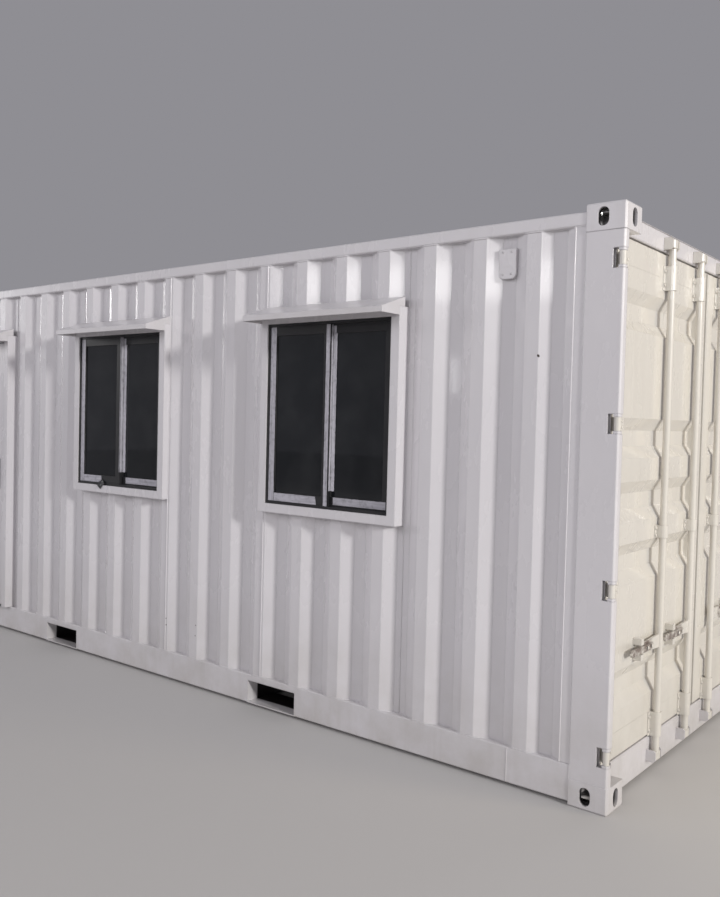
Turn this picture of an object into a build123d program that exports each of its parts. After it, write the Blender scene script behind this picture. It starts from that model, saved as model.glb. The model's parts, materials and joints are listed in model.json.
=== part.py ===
from build123d import *
import os

os.makedirs("parts", exist_ok=True)

# Overall sizes of the steel box, in millimetres. X runs along it, the cargo doors are at +X,
# the windows at -Y, and the origin is the centre of the base.
length = 6058.0
width = 2438.0
height = 2591.0
half_length = length / 2
half_width = width / 2

# Corner castings
casting_length = 178.0
casting_width = 162.0
casting_height = 118.0
casting_wall = 28.0
casting_back_wall = 12.0
casting_chamfer = 8.0
socket_from_end = 102.5
socket_from_side = 89.5
socket_length = 124.5
socket_width = 63.5
side_hole_height = 79.5
side_hole_width = 51.0

# Frame
frame_inset = 3.0
frame_steel = 6.0
frame_chamfer = 8.0
rail_inset = 4.0
rail_steel = 4.5
rail_chamfer = 5.0
ground_clearance = 17.0
bottom_rail_height = 163.0
bottom_rail_depth = 48.0
top_rail_size = 60.0
rail_below_top = 30.0
post_strip_length = 50.0
post_strip_steel = 4.0
front_post_depth = 50.0
front_post_length = 46.0

# Pressed sheet of the walls and the roof
sheet = 2.0
wall_inset = 8.0
wall_pitch = 278.0
wall_crest = 72.0
wall_slope = 68.0
wall_depth = 36.0
wall_end_depth = 26.0
wall_first_crest = 389.0
end_pitch = 250.0
end_crest = 104.0
end_slope = 21.0
end_depth = 45.0
roof_pitch = 209.0
roof_trough = 118.0
roof_slope_angle = 34.0
roof_depth = 20.0
roof_margin = 45.0

# Floor and base
floor_thickness = 28.0
floor_gap = 8.0
cross_depth = 122.0
cross_flange = 45.0
cross_steel = 4.0
cross_spacing = 305.0
pocket_from_doors = 1982.0
pocket_spacing = 2055.0
pocket_width = 362.0
pocket_above_ground = 23.0
pocket_height = 122.0
pocket_steel = 6.0
pocket_strap_length = 220.0

# Windows
window_from_doors = 1122.0
window_spacing = 1788.0
window_width = 850.0
window_above_floor = 999.0
window_height = 987.0
surround_face = 50.0
surround_proud = 45.0
surround_depth = 91.0
surround_steel = 3.0
window_setback = 10.0
window_frame_face = 14.0
window_frame_depth = 66.0
track_width = 3.0
track_height = 9.0
track_setback = 5.0
sash_stile = 44.0
sash_rail = 48.0
sash_depth = 20.0
sash_play = 0.3
glass_thickness = 5.0

# Rain hoods
hood_drop = 6.0
hood_projection = 145.0
hood_lip_height = 30.0
hood_rise = 50.0
hood_steel = 2.0

# Entry door
entry_from_end = 337.0
entry_width = 900.0
entry_gap = 5.0
entry_thickness = 45.0
entry_setback = 7.0
entry_threshold_height = 12.0
entry_stop_width = 20.0
entry_hinge_margin = 230.0
entry_hinge_length = 110.0
entry_knuckle_radius = 8.0
entry_pin_radius = 4.5
entry_flag_width = 50.0
entry_handle_above_floor = 1001.0
entry_handle_inset = 60.0
lever_plate_width = 40.0
lever_plate_height = 230.0
lever_plate_steel = 8.0
lever_radius = 9.0
lever_stand_length = 46.0
lever_length = 125.0

# Cargo doors
door_face_inset = 55.0
header_depth = 134.0
header_height = 88.0
sill_height = 158.0
sill_notch_width = 50.0
sill_notch_height = 50.0
jamb_width = 37.0
jamb_depth = 108.0
post_inner_width = 102.0
leaf_gap = 13.0
leaf_seam = 24.0
leaf_depth = 50.0
leaf_steel = 4.0
leaf_stile_width = 100.0
leaf_rail_height = 110.0
groove_flat = 70.0
groove_slope = 55.0
groove_depth = 36.0
gasket_lip = 8.0
gasket_depth = 18.0
gasket_setback = 12.0

# Cargo door hinges
hinge_inset = 14.0
hinge_pin_radius = 8.0
hinge_play = 0.1
hinge_knuckle_radius = 14.0
hinge_notch_height = 84.0
hinge_notch_length = 52.0
hinge_lug_height = 12.5
hinge_lug_gap = 0.5
blade_length = 100.0
blade_steel = 10.0

# Locking gear
outer_rod_from_middle = 590.0
inner_rod_from_middle = 180.0
rod_radius = 17.0
rod_stand_length = 27.0
rod_below_sill = 103.0
rod_above_header = 55.0
cam_radius = 20.0
cam_nose_length = 14.0
cam_height = 38.0
keeper_gap = 8.0
keeper_steel = 8.0
keeper_height = 56.0
keeper_depth = 46.0
keeper_chamfer = 10.0
guide_wall = 6.0
guide_height = 116.0
guide_middle_height = 60.0
guide_foot_width = 90.0
handle_length = 370.0
handle_start_length = 110.0
handle_steel = 10.0
handle_height = 30.0
handle_chamfer = 10.0
hub_height = 64.0
hub_end_height = 46.0
hub_steel = 10.0
hub_length = 222.0
catch_from_rod = 250.0
catch_height = 100.0
catch_width = 30.0
catch_gap = 6.0

# Ventilators
vent_width = 86.0
vent_height = 136.0
vent_depth = 20.0
vent_steel = 3.0
vent_corner_radius = 26.0
vent_stand_length = 5.0
vent_neck_width = 56.0
vent_neck_height = 30.0
vent_below_rail = 125.0

# Places up a cargo leaf, as shares of its height
groove_shares = (0.129, 0.374, 0.496, 0.621, 0.870)
hinge_shares = (0.025, 0.338, 0.648, 0.953)
handle_share = 0.199
low_guide_share = 0.022
middle_guide_share = 0.427
top_guide_share = 0.952

# Sides of the small round parts that repeat, which are kept to few faces
pin_sides = 12
strap_sides = 16

# Derived planes and sizes
rail_face = half_width - rail_inset
wall_face = half_width - wall_inset
rail_length = length - 2 * casting_length
between_castings = width - 2 * casting_width
post_back = half_length - casting_length
post_face = half_length - frame_inset
post_side = half_width - frame_inset
bottom_rail_top = ground_clearance + bottom_rail_height
top_rail_top = height - rail_below_top
top_rail_low = top_rail_top - top_rail_size
wall_end = post_back - post_strip_length
wall_crest_edge = half_length - wall_first_crest
pocket_top = pocket_above_ground + pocket_height
pocket_middle = pocket_above_ground + pocket_height / 2
near_pocket = half_length - pocket_from_doors
pocket_centres = (near_pocket - pocket_spacing, near_pocket)
floor_low = pocket_top + pocket_steel
floor_top = floor_low + floor_thickness
surround_front = wall_face + surround_proud
surround_back = surround_front - surround_depth
window_sill = floor_top + window_above_floor
window_top = window_sill + window_height
window_middle = window_sill + window_height / 2
surround_width = window_width + 2 * surround_face
surround_low = window_sill - surround_face
surround_top = window_top + surround_face
near_window = half_length - window_from_doors - surround_width / 2
window_centres = (near_window - window_spacing, near_window)
entry_surround_width = entry_width + 2 * surround_face
entry_centre = -half_length + entry_from_end + entry_surround_width / 2
door_face = half_length - door_face_inset
header_low = top_rail_top - header_height
sill_top = ground_clearance + sill_height
jamb_face = post_side - jamb_width
leaf_outer = jamb_face - leaf_gap
leaf_inner = leaf_seam / 2
leaf_low = sill_top + leaf_gap
leaf_top = header_low - leaf_gap
leaf_height = leaf_top - leaf_low
leaf_width = leaf_outer - leaf_inner
leaf_middle = (leaf_low + leaf_top) / 2
hinge_x = post_face - hinge_inset
hinge_y = post_side - hinge_inset
hinge_heights = [leaf_low + share * leaf_height for share in hinge_shares]
groove_heights = [leaf_low + share * leaf_height for share in groove_shares]
handle_level = leaf_low + handle_share * leaf_height
rod_places = (outer_rod_from_middle, inner_rod_from_middle)
rod_x = door_face + rod_stand_length
rod_low = sill_top - rod_below_sill
rod_top = header_low + rod_above_header
guide_places = (
    (leaf_low + low_guide_share * leaf_height, guide_height),
    (leaf_low + middle_guide_share * leaf_height, guide_middle_height),
    (leaf_low + top_guide_share * leaf_height, guide_height),
)
handle_face = rod_x + hub_steel / 2


def save(piece, name):
    piece.part.label = name
    export_step(piece.part, f"parts/{name}.step")


def few_sided(radius, sides, mode):
    """Round section in few sides, whose flats stand at the radius and face X and Y."""
    RegularPolygon(radius, sides, major_radius=False, rotation=180 / sides, mode=mode)


def slope_run(depth):
    """Length along the side wall that a slope takes to reach a depth."""
    return wall_slope * depth / wall_depth


def wall_profile():
    """Corners of the pressed side wall as (x, depth behind the crests), from end to end."""
    end_run = slope_run(wall_end_depth)
    room = wall_crest_edge + wall_end - wall_crest - 2 * end_run
    crests = int(room / wall_pitch) + 1
    corners = [(-wall_end, 0.0), (-wall_end + end_run, wall_end_depth)]
    corners += [(wall_end - end_run, wall_end_depth), (wall_end, 0.0)]
    for crest in range(crests):
        right = wall_crest_edge - crest * wall_pitch
        left = right - wall_crest
        right_depth = wall_end_depth if crest == 0 else wall_depth
        left_depth = wall_end_depth if crest == crests - 1 else wall_depth
        corners.append((right + slope_run(right_depth), right_depth))
        corners.append((right, 0.0))
        corners.append((left, 0.0))
        corners.append((left - slope_run(left_depth), left_depth))
    return sorted(corners)


def depth_at(x):
    """Depth of the pressed side wall behind its crests at one place along it."""
    corners = wall_profile()
    for (x0, d0), (x1, d1) in zip(corners, corners[1:]):
        if x0 <= x <= x1:
            return d0 + (d1 - d0) * (x - x0) / (x1 - x0)
    return 0.0


def wall_stretch(start, end):
    """Corners of the side wall between two places along it."""
    inner = [corner for corner in wall_profile() if start < corner[0] < end]
    return [(start, depth_at(start))] + inner + [(end, depth_at(end))]


def sheet_outline(corners, thickness):
    """Closed outline of a sheet whose depth is measured along the second axis."""
    return corners + [(u, v + thickness) for u, v in reversed(corners)]


def wall_sheets(stretches, low, high, side):
    """Pressed sheets of one long side (side is -1 at the windows, 1 at the back)."""
    with BuildPart() as sheets:
        with BuildSketch(Plane.XY.offset(low)):
            for start, end in stretches:
                outline = sheet_outline(wall_stretch(start, end), sheet)
                with BuildLine():
                    Polyline([(x, side * (wall_face - d)) for x, d in outline], close=True)
                make_face()
        extrude(amount=high - low)
    return sheets


def corner_castings(bottom):
    """Four hollow castings, each open by a slot in its level face and a hole in two sides."""
    base = 0.0 if bottom else height - casting_height
    slot_face = 0.0 if bottom else height
    middle = base + casting_height / 2
    along = half_length - socket_from_end
    across = half_width - socket_from_side
    shift = (casting_wall - casting_back_wall) / 2
    corners = [(end, side) for end in (-1, 1) for side in (-1, 1)]
    with BuildPart() as castings:
        for end, side in corners:
            x = end * (half_length - casting_length / 2)
            y = side * (half_width - casting_width / 2)
            with Locations((x, y, middle)):
                Box(casting_length, casting_width, casting_height)
        outer = castings.edges().filter_by(
            lambda edge: (
                (abs(edge.center().X) == half_length)
                + (abs(edge.center().Y) == half_width)
                + (edge.center().Z == slot_face)
                == 2
            )
        )
        chamfer(outer, length=casting_chamfer)
        for end, side in corners:
            x = end * (half_length - casting_length / 2 - shift)
            y = side * (half_width - casting_width / 2 - shift)
            with Locations((x, y, middle)):
                Box(
                    casting_length - casting_wall - casting_back_wall,
                    casting_width - casting_wall - casting_back_wall,
                    casting_height - 2 * casting_wall,
                    mode=Mode.SUBTRACT,
                )
        with BuildSketch(Plane.XY.offset(slot_face)):
            with Locations([(end * along, side * across) for end, side in corners]):
                SlotOverall(socket_length, socket_width)
        extrude(amount=casting_wall, both=True, mode=Mode.SUBTRACT)
        for side in (-1, 1):
            with BuildSketch(Plane.XZ.offset(-side * half_width)):
                with Locations((-along, middle), (along, middle)):
                    SlotOverall(side_hole_height, side_hole_width, rotation=90)
            extrude(amount=casting_wall, both=True, mode=Mode.SUBTRACT)
            with BuildSketch(Plane.YZ.offset(side * half_length)):
                with Locations((-across, middle), (across, middle)):
                    SlotOverall(side_hole_height, side_hole_width, rotation=90)
            extrude(amount=casting_wall, both=True, mode=Mode.SUBTRACT)
    return castings


save(corner_castings(True), "bottom_castings")
save(corner_castings(False), "top_castings")


def bottom_rail(side):
    """Bottom side rail: channel open to the inside, cut through for the fork pockets."""
    rail_middle = ground_clearance + bottom_rail_height / 2
    with BuildPart() as rail:
        with BuildSketch(Plane.YZ.offset(-rail_length / 2)) as section:
            with Locations((side * (rail_face - bottom_rail_depth / 2), rail_middle)):
                Rectangle(bottom_rail_depth, bottom_rail_height)
            chamfer(section.vertices().sort_by(Axis.X)[:: side][-2:], length=rail_chamfer)
            with Locations((side * (rail_face - rail_steel - bottom_rail_depth / 2), rail_middle)):
                Rectangle(
                    bottom_rail_depth,
                    bottom_rail_height - 2 * rail_steel,
                    mode=Mode.SUBTRACT,
                )
        extrude(amount=rail_length)
        with Locations([(x, side * rail_face, pocket_middle) for x in pocket_centres]):
            Box(
                pocket_width + 2 * pocket_steel,
                3 * bottom_rail_depth,
                pocket_height + 2 * pocket_steel,
                mode=Mode.SUBTRACT,
            )
    return rail


save(bottom_rail(-1), "bottom_rail_front")
save(bottom_rail(1), "bottom_rail_back")

with BuildPart() as top_rails:
    for side in (-1, 1):
        with BuildSketch(Plane.YZ.offset(-rail_length / 2)) as section:
            with Locations((side * (rail_face - top_rail_size / 2), top_rail_top - top_rail_size / 2)):
                Rectangle(top_rail_size, top_rail_size)
            chamfer(section.vertices(), length=rail_chamfer)
            offset(amount=-rail_steel, mode=Mode.SUBTRACT)
        extrude(amount=rail_length)
save(top_rails, "top_rails")

# Fork pockets: tunnels across the base with a strap under each mouth
with BuildPart() as fork_pockets:
    with BuildSketch(Plane.XZ.offset(-rail_face)):
        with Locations([(x, pocket_middle) for x in pocket_centres]):
            Rectangle(pocket_width + 2 * pocket_steel, pocket_height + 2 * pocket_steel)
            Rectangle(pocket_width, pocket_height, mode=Mode.SUBTRACT)
    extrude(amount=2 * rail_face)
    with Locations([(x, 0, pocket_above_ground) for x in pocket_centres]):
        Box(
            pocket_width,
            2 * (rail_face - pocket_strap_length),
            4 * pocket_steel,
            align=(Align.CENTER, Align.CENTER, Align.MAX),
            mode=Mode.SUBTRACT,
        )
save(fork_pockets, "fork_pockets")

# Cross members between the side rails, clear of the pockets
cross_half = int((wall_end - cross_flange) / cross_spacing)
pocket_clear = pocket_width / 2 + pocket_steel + cross_flange
cross_reach = rail_face - bottom_rail_depth
cross_middle = floor_low - cross_depth / 2
cross_places = [
    cross_spacing * step
    for step in range(-cross_half, cross_half + 1)
    if all(abs(cross_spacing * step - centre) > pocket_clear for centre in pocket_centres)
]
with BuildPart() as cross_members:
    with BuildSketch(Plane.XZ.offset(-cross_reach)):
        with Locations([(x, cross_middle) for x in cross_places]):
            Rectangle(cross_flange, cross_depth)
        with Locations([(x + cross_steel, cross_middle) for x in cross_places]):
            Rectangle(cross_flange, cross_depth - 2 * cross_steel, mode=Mode.SUBTRACT)
    extrude(amount=2 * cross_reach)
save(cross_members, "cross_members")

# Plywood floor, narrower where it runs between the end rail's castings
floor_half = door_face - header_depth - floor_gap
floor_end = post_face - top_rail_size
floor_width = 2 * (wall_face - wall_depth - sheet - floor_gap)
with BuildPart() as floor:
    with BuildSketch(Plane.XY.offset(floor_low)):
        Rectangle(2 * floor_half, floor_width)
        with Locations((-(floor_end + floor_half) / 2, 0)):
            Rectangle(floor_end - floor_half, between_castings - 2 * floor_gap)
    extrude(amount=floor_thickness)
save(floor, "plywood_floor")


def edge_strips(end):
    """Flat strips that join the posts of one end to the side walls."""
    strip_x = end * (wall_end + post_strip_length / 2)
    strip_y = wall_face - sheet / 2
    with BuildPart(mode=Mode.PRIVATE) as strips:
        with BuildSketch(Plane.XY.offset(bottom_rail_top)):
            with Locations((strip_x, -strip_y), (strip_x, strip_y)):
                Rectangle(post_strip_length, post_strip_steel)
        extrude(amount=top_rail_low - bottom_rail_top)
    return strips.part


def hollow_post(outline, corner):
    """Section of a hollow post with its outer corner broken."""
    with BuildSketch(mode=Mode.PRIVATE) as section:
        with BuildLine():
            Polyline(outline, close=True)
        make_face()
        chamfer(section.vertices().sort_by_distance(corner)[0], length=frame_chamfer)
        offset(amount=-frame_steel, mode=Mode.SUBTRACT)
    return section.sketch


# Rear posts: a box behind and a jamb beside the doors, notched at each hinge
with BuildPart() as rear_posts:
    with BuildSketch(Plane.XY.offset(casting_height)):
        for side in (-1, 1):
            outline = [
                (post_back, side * post_side),
                (post_face, side * post_side),
                (post_face, side * jamb_face),
                (post_face - jamb_depth, side * jamb_face),
                (post_face - jamb_depth, side * (post_side - post_inner_width)),
                (post_back, side * (post_side - post_inner_width)),
            ]
            add(hollow_post(outline, (post_face, side * post_side)))
    extrude(amount=height - 2 * casting_height)
    add(edge_strips(1))
    for side in (-1, 1):
        with Locations([(post_face, side * post_side, z) for z in hinge_heights]):
            Box(
                2 * hinge_notch_length,
                2 * (jamb_width + leaf_gap / 2),
                hinge_notch_height,
                mode=Mode.SUBTRACT,
            )
save(rear_posts, "rear_posts")

# Front posts: folded corners that the end wall and the side walls run into
front_post_end = casting_width - frame_inset
with BuildPart() as front_posts:
    with BuildSketch(Plane.XY.offset(casting_height)):
        for side in (-1, 1):
            outline = [
                (-post_back, side * post_side),
                (-post_face, side * post_side),
                (-post_face, side * (post_side - front_post_end)),
                (-post_face + front_post_length, side * (post_side - front_post_end)),
                (-post_face + front_post_length, side * (post_side - front_post_depth)),
                (-post_back, side * (post_side - front_post_depth)),
            ]
            add(hollow_post(outline, (-post_face, side * post_side)))
    extrude(amount=height - 2 * casting_height)
    add(edge_strips(-1))
save(front_posts, "front_posts")


def end_beam(outer_x, depth, low, beam_height):
    """Hollow beam between the castings of one end, its outer face at outer_x."""
    inward = -1 if outer_x > 0 else 1
    with BuildPart() as beam:
        with BuildSketch(Plane.XZ.offset(-between_castings / 2)) as section:
            with Locations((outer_x + inward * depth / 2, low + beam_height / 2)):
                Rectangle(depth, beam_height)
            chamfer(section.vertices(), length=rail_chamfer)
            offset(amount=-rail_steel, mode=Mode.SUBTRACT)
        extrude(amount=between_castings)
    return beam


save(end_beam(door_face, header_depth, header_low, header_height), "door_header")
save(end_beam(-post_face, top_rail_size, top_rail_low, top_rail_size), "end_top_rail")
save(end_beam(-post_face, top_rail_size, ground_clearance, bottom_rail_height), "end_bottom_rail")

with BuildPart() as door_sill:
    add(end_beam(door_face, header_depth, ground_clearance, sill_height).part)
    for side in (-1, 1):
        with Locations((door_face, side * between_castings / 2, ground_clearance)):
            Box(3 * header_depth, 2 * sill_notch_width, 2 * sill_notch_height, mode=Mode.SUBTRACT)
save(door_sill, "door_sill")

# Roof: a sheet on the top rails with troughs pressed down between them
trough_length = 2 * (rail_face - top_rail_size - roof_margin)
trough_count = int((2 * post_back - roof_trough) / roof_pitch)
with BuildPart() as roof:
    with BuildSketch(Plane.XY.offset(top_rail_top)):
        Rectangle(2 * post_back, 2 * rail_face - top_rail_size)
    extrude(amount=sheet)
    with BuildSketch(Plane.XY.offset(top_rail_top)):
        with GridLocations(roof_pitch, 0, trough_count, 1):
            Rectangle(roof_trough, trough_length)
    extrude(amount=roof_depth, dir=(0, 0, -1), taper=roof_slope_angle)
    with BuildSketch(Plane.XY.offset(top_rail_top + sheet)):
        with GridLocations(roof_pitch, 0, trough_count, 1):
            Rectangle(roof_trough, trough_length)
    extrude(amount=roof_depth, dir=(0, 0, -1), taper=roof_slope_angle, mode=Mode.SUBTRACT)
save(roof, "roof")

# Roof end plates between the castings
with BuildPart() as roof_ends:
    for start, end in ((-post_face, -post_back), (post_back, door_face)):
        with Locations(((start + end) / 2, 0, top_rail_top + sheet / 2)):
            Box(end - start, between_castings, sheet)
save(roof_ends, "roof_end_plates")

# Walls. The window side is cut for the windows and the entry door.
window_left = [centre - surround_width / 2 for centre in window_centres]
window_right = [centre + surround_width / 2 for centre in window_centres]
entry_left = entry_centre - entry_surround_width / 2
entry_right = entry_centre + entry_surround_width / 2
panel_bays = [
    (-wall_end, entry_left),
    (entry_right, window_left[0]),
    (window_right[0], window_left[1]),
    (window_right[1], wall_end),
]
window_bays = list(zip(window_left, window_right))
head_bays = window_bays + [(entry_left, entry_right)]
save(wall_sheets(panel_bays, bottom_rail_top, top_rail_low, -1), "window_wall_panels")
save(wall_sheets(window_bays, bottom_rail_top, surround_low, -1), "window_wall_lower")
save(wall_sheets(head_bays, surround_top, top_rail_low, -1), "window_wall_upper")
save(wall_sheets([(-wall_end, wall_end)], bottom_rail_top, top_rail_low, 1), "back_wall")

# End wall: crests at both edges and whole waves between them
end_wall_half = post_side - front_post_end
end_waves = int((2 * end_wall_half - end_crest) / end_pitch)
end_corners = [(-end_wall_half, 0.0)]
for wave in range(end_waves):
    left = (wave - end_waves / 2) * end_pitch + end_crest / 2
    right = left + end_pitch - end_crest
    end_corners += [(left, 0.0), (left + end_slope, end_depth)]
    end_corners += [(right - end_slope, end_depth), (right, 0.0)]
end_corners.append((end_wall_half, 0.0))
with BuildPart() as end_wall:
    with BuildSketch(Plane.XY.offset(bottom_rail_top)):
        with BuildLine():
            Polyline(
                [(-post_face + wall_inset + d, y) for y, d in sheet_outline(end_corners, sheet)],
                close=True,
            )
        make_face()
    extrude(amount=top_rail_low - bottom_rail_top)
save(end_wall, "end_wall")

# Window surrounds of folded channel, open at the back and set through the wall
with BuildPart() as window_surrounds:
    for setback, steel, mode in ((0.0, 0.0, Mode.ADD), (surround_steel, surround_steel, Mode.SUBTRACT)):
        with BuildSketch(Plane.XZ.offset(surround_front - setback)):
            with Locations([(centre, window_middle) for centre in window_centres]):
                Rectangle(surround_width - 2 * steel, surround_top - surround_low - 2 * steel)
                Rectangle(window_width + 2 * steel, window_height + 2 * steel, mode=Mode.SUBTRACT)
        extrude(amount=-surround_depth, mode=mode)
save(window_surrounds, "window_surrounds")

# Window frames of aluminium, with a track between the two sashes of each
frame_front = surround_front - window_setback
front_sash_face = frame_front - track_setback
track_face = front_sash_face - sash_depth - sash_play
back_sash_face = track_face - track_width - sash_play
inner_width = window_width - 2 * window_frame_face
inner_height = window_height - 2 * window_frame_face
with BuildPart() as window_frames:
    with BuildSketch(Plane.XZ.offset(frame_front)):
        with Locations([(centre, window_middle) for centre in window_centres]):
            Rectangle(window_width, window_height)
            Rectangle(inner_width, inner_height, mode=Mode.SUBTRACT)
    extrude(amount=-window_frame_depth)
    with BuildSketch(Plane.XZ.offset(track_face)):
        with Locations([(centre, window_middle) for centre in window_centres]):
            Rectangle(inner_width, inner_height)
            Rectangle(inner_width, inner_height - 2 * track_height, mode=Mode.SUBTRACT)
    extrude(amount=-track_width)
save(window_frames, "window_frames")

# Sliding sashes: the one nearer the cargo doors runs in the back track
sash_width = (inner_width + sash_stile) / 2 - sash_play
sash_height = inner_height - 2 * sash_play
sash_shift = (inner_width - sash_width) / 2 - sash_play
with BuildPart() as window_sashes:
    for shift, face in ((-sash_shift, front_sash_face), (sash_shift, back_sash_face)):
        with BuildSketch(Plane.XZ.offset(face)):
            with Locations([(centre + shift, window_middle) for centre in window_centres]):
                Rectangle(sash_width, sash_height)
                Rectangle(
                    sash_width - 2 * sash_stile,
                    sash_height - 2 * sash_rail,
                    mode=Mode.SUBTRACT,
                )
        extrude(amount=-sash_depth)
save(window_sashes, "window_sashes")

with BuildPart() as window_glass:
    for shift, face in ((-sash_shift, front_sash_face), (sash_shift, back_sash_face)):
        with BuildSketch(Plane.XZ.offset(face - (sash_depth - glass_thickness) / 2)):
            with Locations([(centre + shift, window_middle) for centre in window_centres]):
                Rectangle(sash_width - 2 * sash_stile, sash_height - 2 * sash_rail)
        extrude(amount=-glass_thickness)
save(window_glass, "window_glass")

# Rain hoods over the windows and the entry door
hood_places = [(centre, surround_width) for centre in window_centres]
hood_places.append((entry_centre, entry_surround_width))
hood_low = window_top + hood_drop
hood_front = surround_front + hood_projection
with BuildPart() as rain_hoods:
    for centre, hood_width in hood_places:
        for steel, mode in ((0.0, Mode.ADD), (hood_steel, Mode.SUBTRACT)):
            with BuildSketch(Plane.YZ.offset(centre - hood_width / 2 + steel)):
                with BuildLine():
                    Polyline(
                        [
                            (-surround_front, hood_low),
                            (-hood_front + steel, hood_low),
                            (-hood_front + steel, hood_low + hood_lip_height - steel),
                            (-wall_face, surround_top + hood_rise - steel),
                            (-wall_face, surround_top),
                            (-surround_front, surround_top),
                        ],
                        close=True,
                    )
                make_face()
            extrude(amount=hood_width - 2 * steel, mode=mode)
save(rain_hoods, "rain_hoods")

# Entry doorway: jambs, head and threshold, with a stop behind the leaf
leaf_front = surround_front - entry_setback
stop_front = leaf_front - entry_thickness - entry_gap
with BuildPart() as entry_jambs:
    with BuildSketch(Plane.XY.offset(bottom_rail_top)):
        for side in (-1, 1):
            jamb_x = entry_centre + side * (entry_width + surround_face) / 2
            stop_x = entry_centre + side * (entry_width - entry_stop_width) / 2
            with Locations((jamb_x, -(surround_front + surround_back) / 2)):
                Rectangle(surround_face, surround_depth)
            with Locations((jamb_x, -(surround_front + surround_back) / 2 + surround_steel)):
                Rectangle(surround_face - 2 * surround_steel, surround_depth, mode=Mode.SUBTRACT)
            with Locations((stop_x, -(stop_front + surround_back) / 2)):
                Rectangle(entry_stop_width, stop_front - surround_back)
    extrude(amount=surround_top - bottom_rail_top)
    with Locations((entry_centre, -stop_front, window_top)):
        Box(
            entry_width,
            surround_depth,
            surround_face,
            align=(Align.CENTER, Align.MIN, Align.MIN),
            mode=Mode.SUBTRACT,
        )
save(entry_jambs, "entry_jambs")

with BuildPart() as entry_head:
    with BuildSketch(Plane.YZ.offset(entry_centre - entry_width / 2)):
        with Locations((-(surround_front + surround_back) / 2, window_top + surround_face / 2)):
            Rectangle(surround_depth, surround_face)
        with Locations(
            (
                -(surround_front + surround_back) / 2 + surround_steel,
                window_top + surround_face / 2,
            )
        ):
            Rectangle(surround_depth, surround_face - 2 * surround_steel, mode=Mode.SUBTRACT)
    extrude(amount=entry_width)
save(entry_head, "entry_head")

with BuildPart() as entry_threshold:
    with Locations((entry_centre, -surround_back, bottom_rail_top)):
        Box(
            entry_width - 2 * entry_stop_width,
            surround_depth,
            entry_threshold_height,
            align=(Align.CENTER, Align.MAX, Align.MIN),
        )
save(entry_threshold, "entry_threshold")

entry_leaf_low = bottom_rail_top + entry_threshold_height + entry_gap
entry_leaf_top = window_top - entry_gap
entry_leaf_width = entry_width - 2 * entry_gap
with BuildPart() as entry_leaf:
    with BuildSketch(Plane.XZ.offset(leaf_front)):
        with Locations((entry_centre, (entry_leaf_low + entry_leaf_top) / 2)):
            Rectangle(entry_leaf_width, entry_leaf_top - entry_leaf_low)
    extrude(amount=-entry_thickness)
save(entry_leaf, "entry_leaf")

# Entry lift-off hinges: the lower half carries the pin, in front of the leaf's edge
entry_hinge_x = entry_centre - entry_width / 2
entry_hinge_y = -(surround_front + entry_knuckle_radius)
entry_hinge_heights = (
    entry_leaf_low + entry_hinge_margin,
    (entry_leaf_low + entry_leaf_top) / 2,
    entry_leaf_top - entry_hinge_margin,
)
knuckle_length = (entry_hinge_length - hinge_lug_gap) / 2
with BuildPart() as entry_hinge_pins:
    for z in entry_hinge_heights:
        with BuildSketch(Plane.XY.offset(z - knuckle_length / 2)):
            with Locations((entry_hinge_x, entry_hinge_y)):
                RegularPolygon(entry_pin_radius, pin_sides)
        extrude(amount=knuckle_length)
        with BuildSketch(Plane.XY.offset(z - hinge_lug_gap)):
            with Locations((entry_hinge_x, entry_hinge_y)):
                RegularPolygon(entry_knuckle_radius, pin_sides)
        extrude(amount=-knuckle_length)
        with Locations((entry_hinge_x, -surround_front, z - hinge_lug_gap)):
            Box(
                entry_flag_width / 2,
                entry_knuckle_radius,
                knuckle_length,
                align=(Align.MAX, Align.MAX, Align.MAX),
            )
save(entry_hinge_pins, "entry_hinge_pins")

with BuildPart() as entry_hinge_knuckles:
    for z in entry_hinge_heights:
        with BuildSketch(Plane.XY.offset(z)):
            with Locations((entry_hinge_x + entry_flag_width / 2, -leaf_front)):
                Rectangle(
                    entry_flag_width,
                    surround_front + entry_knuckle_radius - leaf_front,
                    align=(Align.CENTER, Align.MAX),
                )
            with Locations((entry_hinge_x, entry_hinge_y)):
                RegularPolygon(entry_knuckle_radius, pin_sides)
                few_sided(entry_pin_radius + hinge_play, pin_sides, Mode.SUBTRACT)
        extrude(amount=knuckle_length)
save(entry_hinge_knuckles, "entry_hinge_knuckles")

# Entry handle: a lever on a long plate
entry_handle_x = entry_centre + entry_leaf_width / 2 - entry_handle_inset
entry_handle_level = floor_top + entry_handle_above_floor
plate_front = leaf_front + lever_plate_steel
with BuildPart() as entry_handle:
    with BuildSketch(Plane.XZ.offset(leaf_front)):
        with Locations((entry_handle_x, entry_handle_level)):
            Rectangle(lever_plate_width, lever_plate_height)
    extrude(amount=lever_plate_steel)
    with BuildSketch(Plane.XZ.offset(plate_front)):
        with Locations((entry_handle_x, entry_handle_level)):
            Circle(lever_radius)
    extrude(amount=lever_stand_length)
    with BuildSketch(Plane.XZ.offset(plate_front + lever_stand_length - 2 * lever_radius)):
        with Locations((entry_handle_x - lever_length / 2 + lever_radius, entry_handle_level)):
            SlotOverall(lever_length, 2 * lever_radius)
    extrude(amount=2 * lever_radius)
save(entry_handle, "entry_handle")


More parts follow.
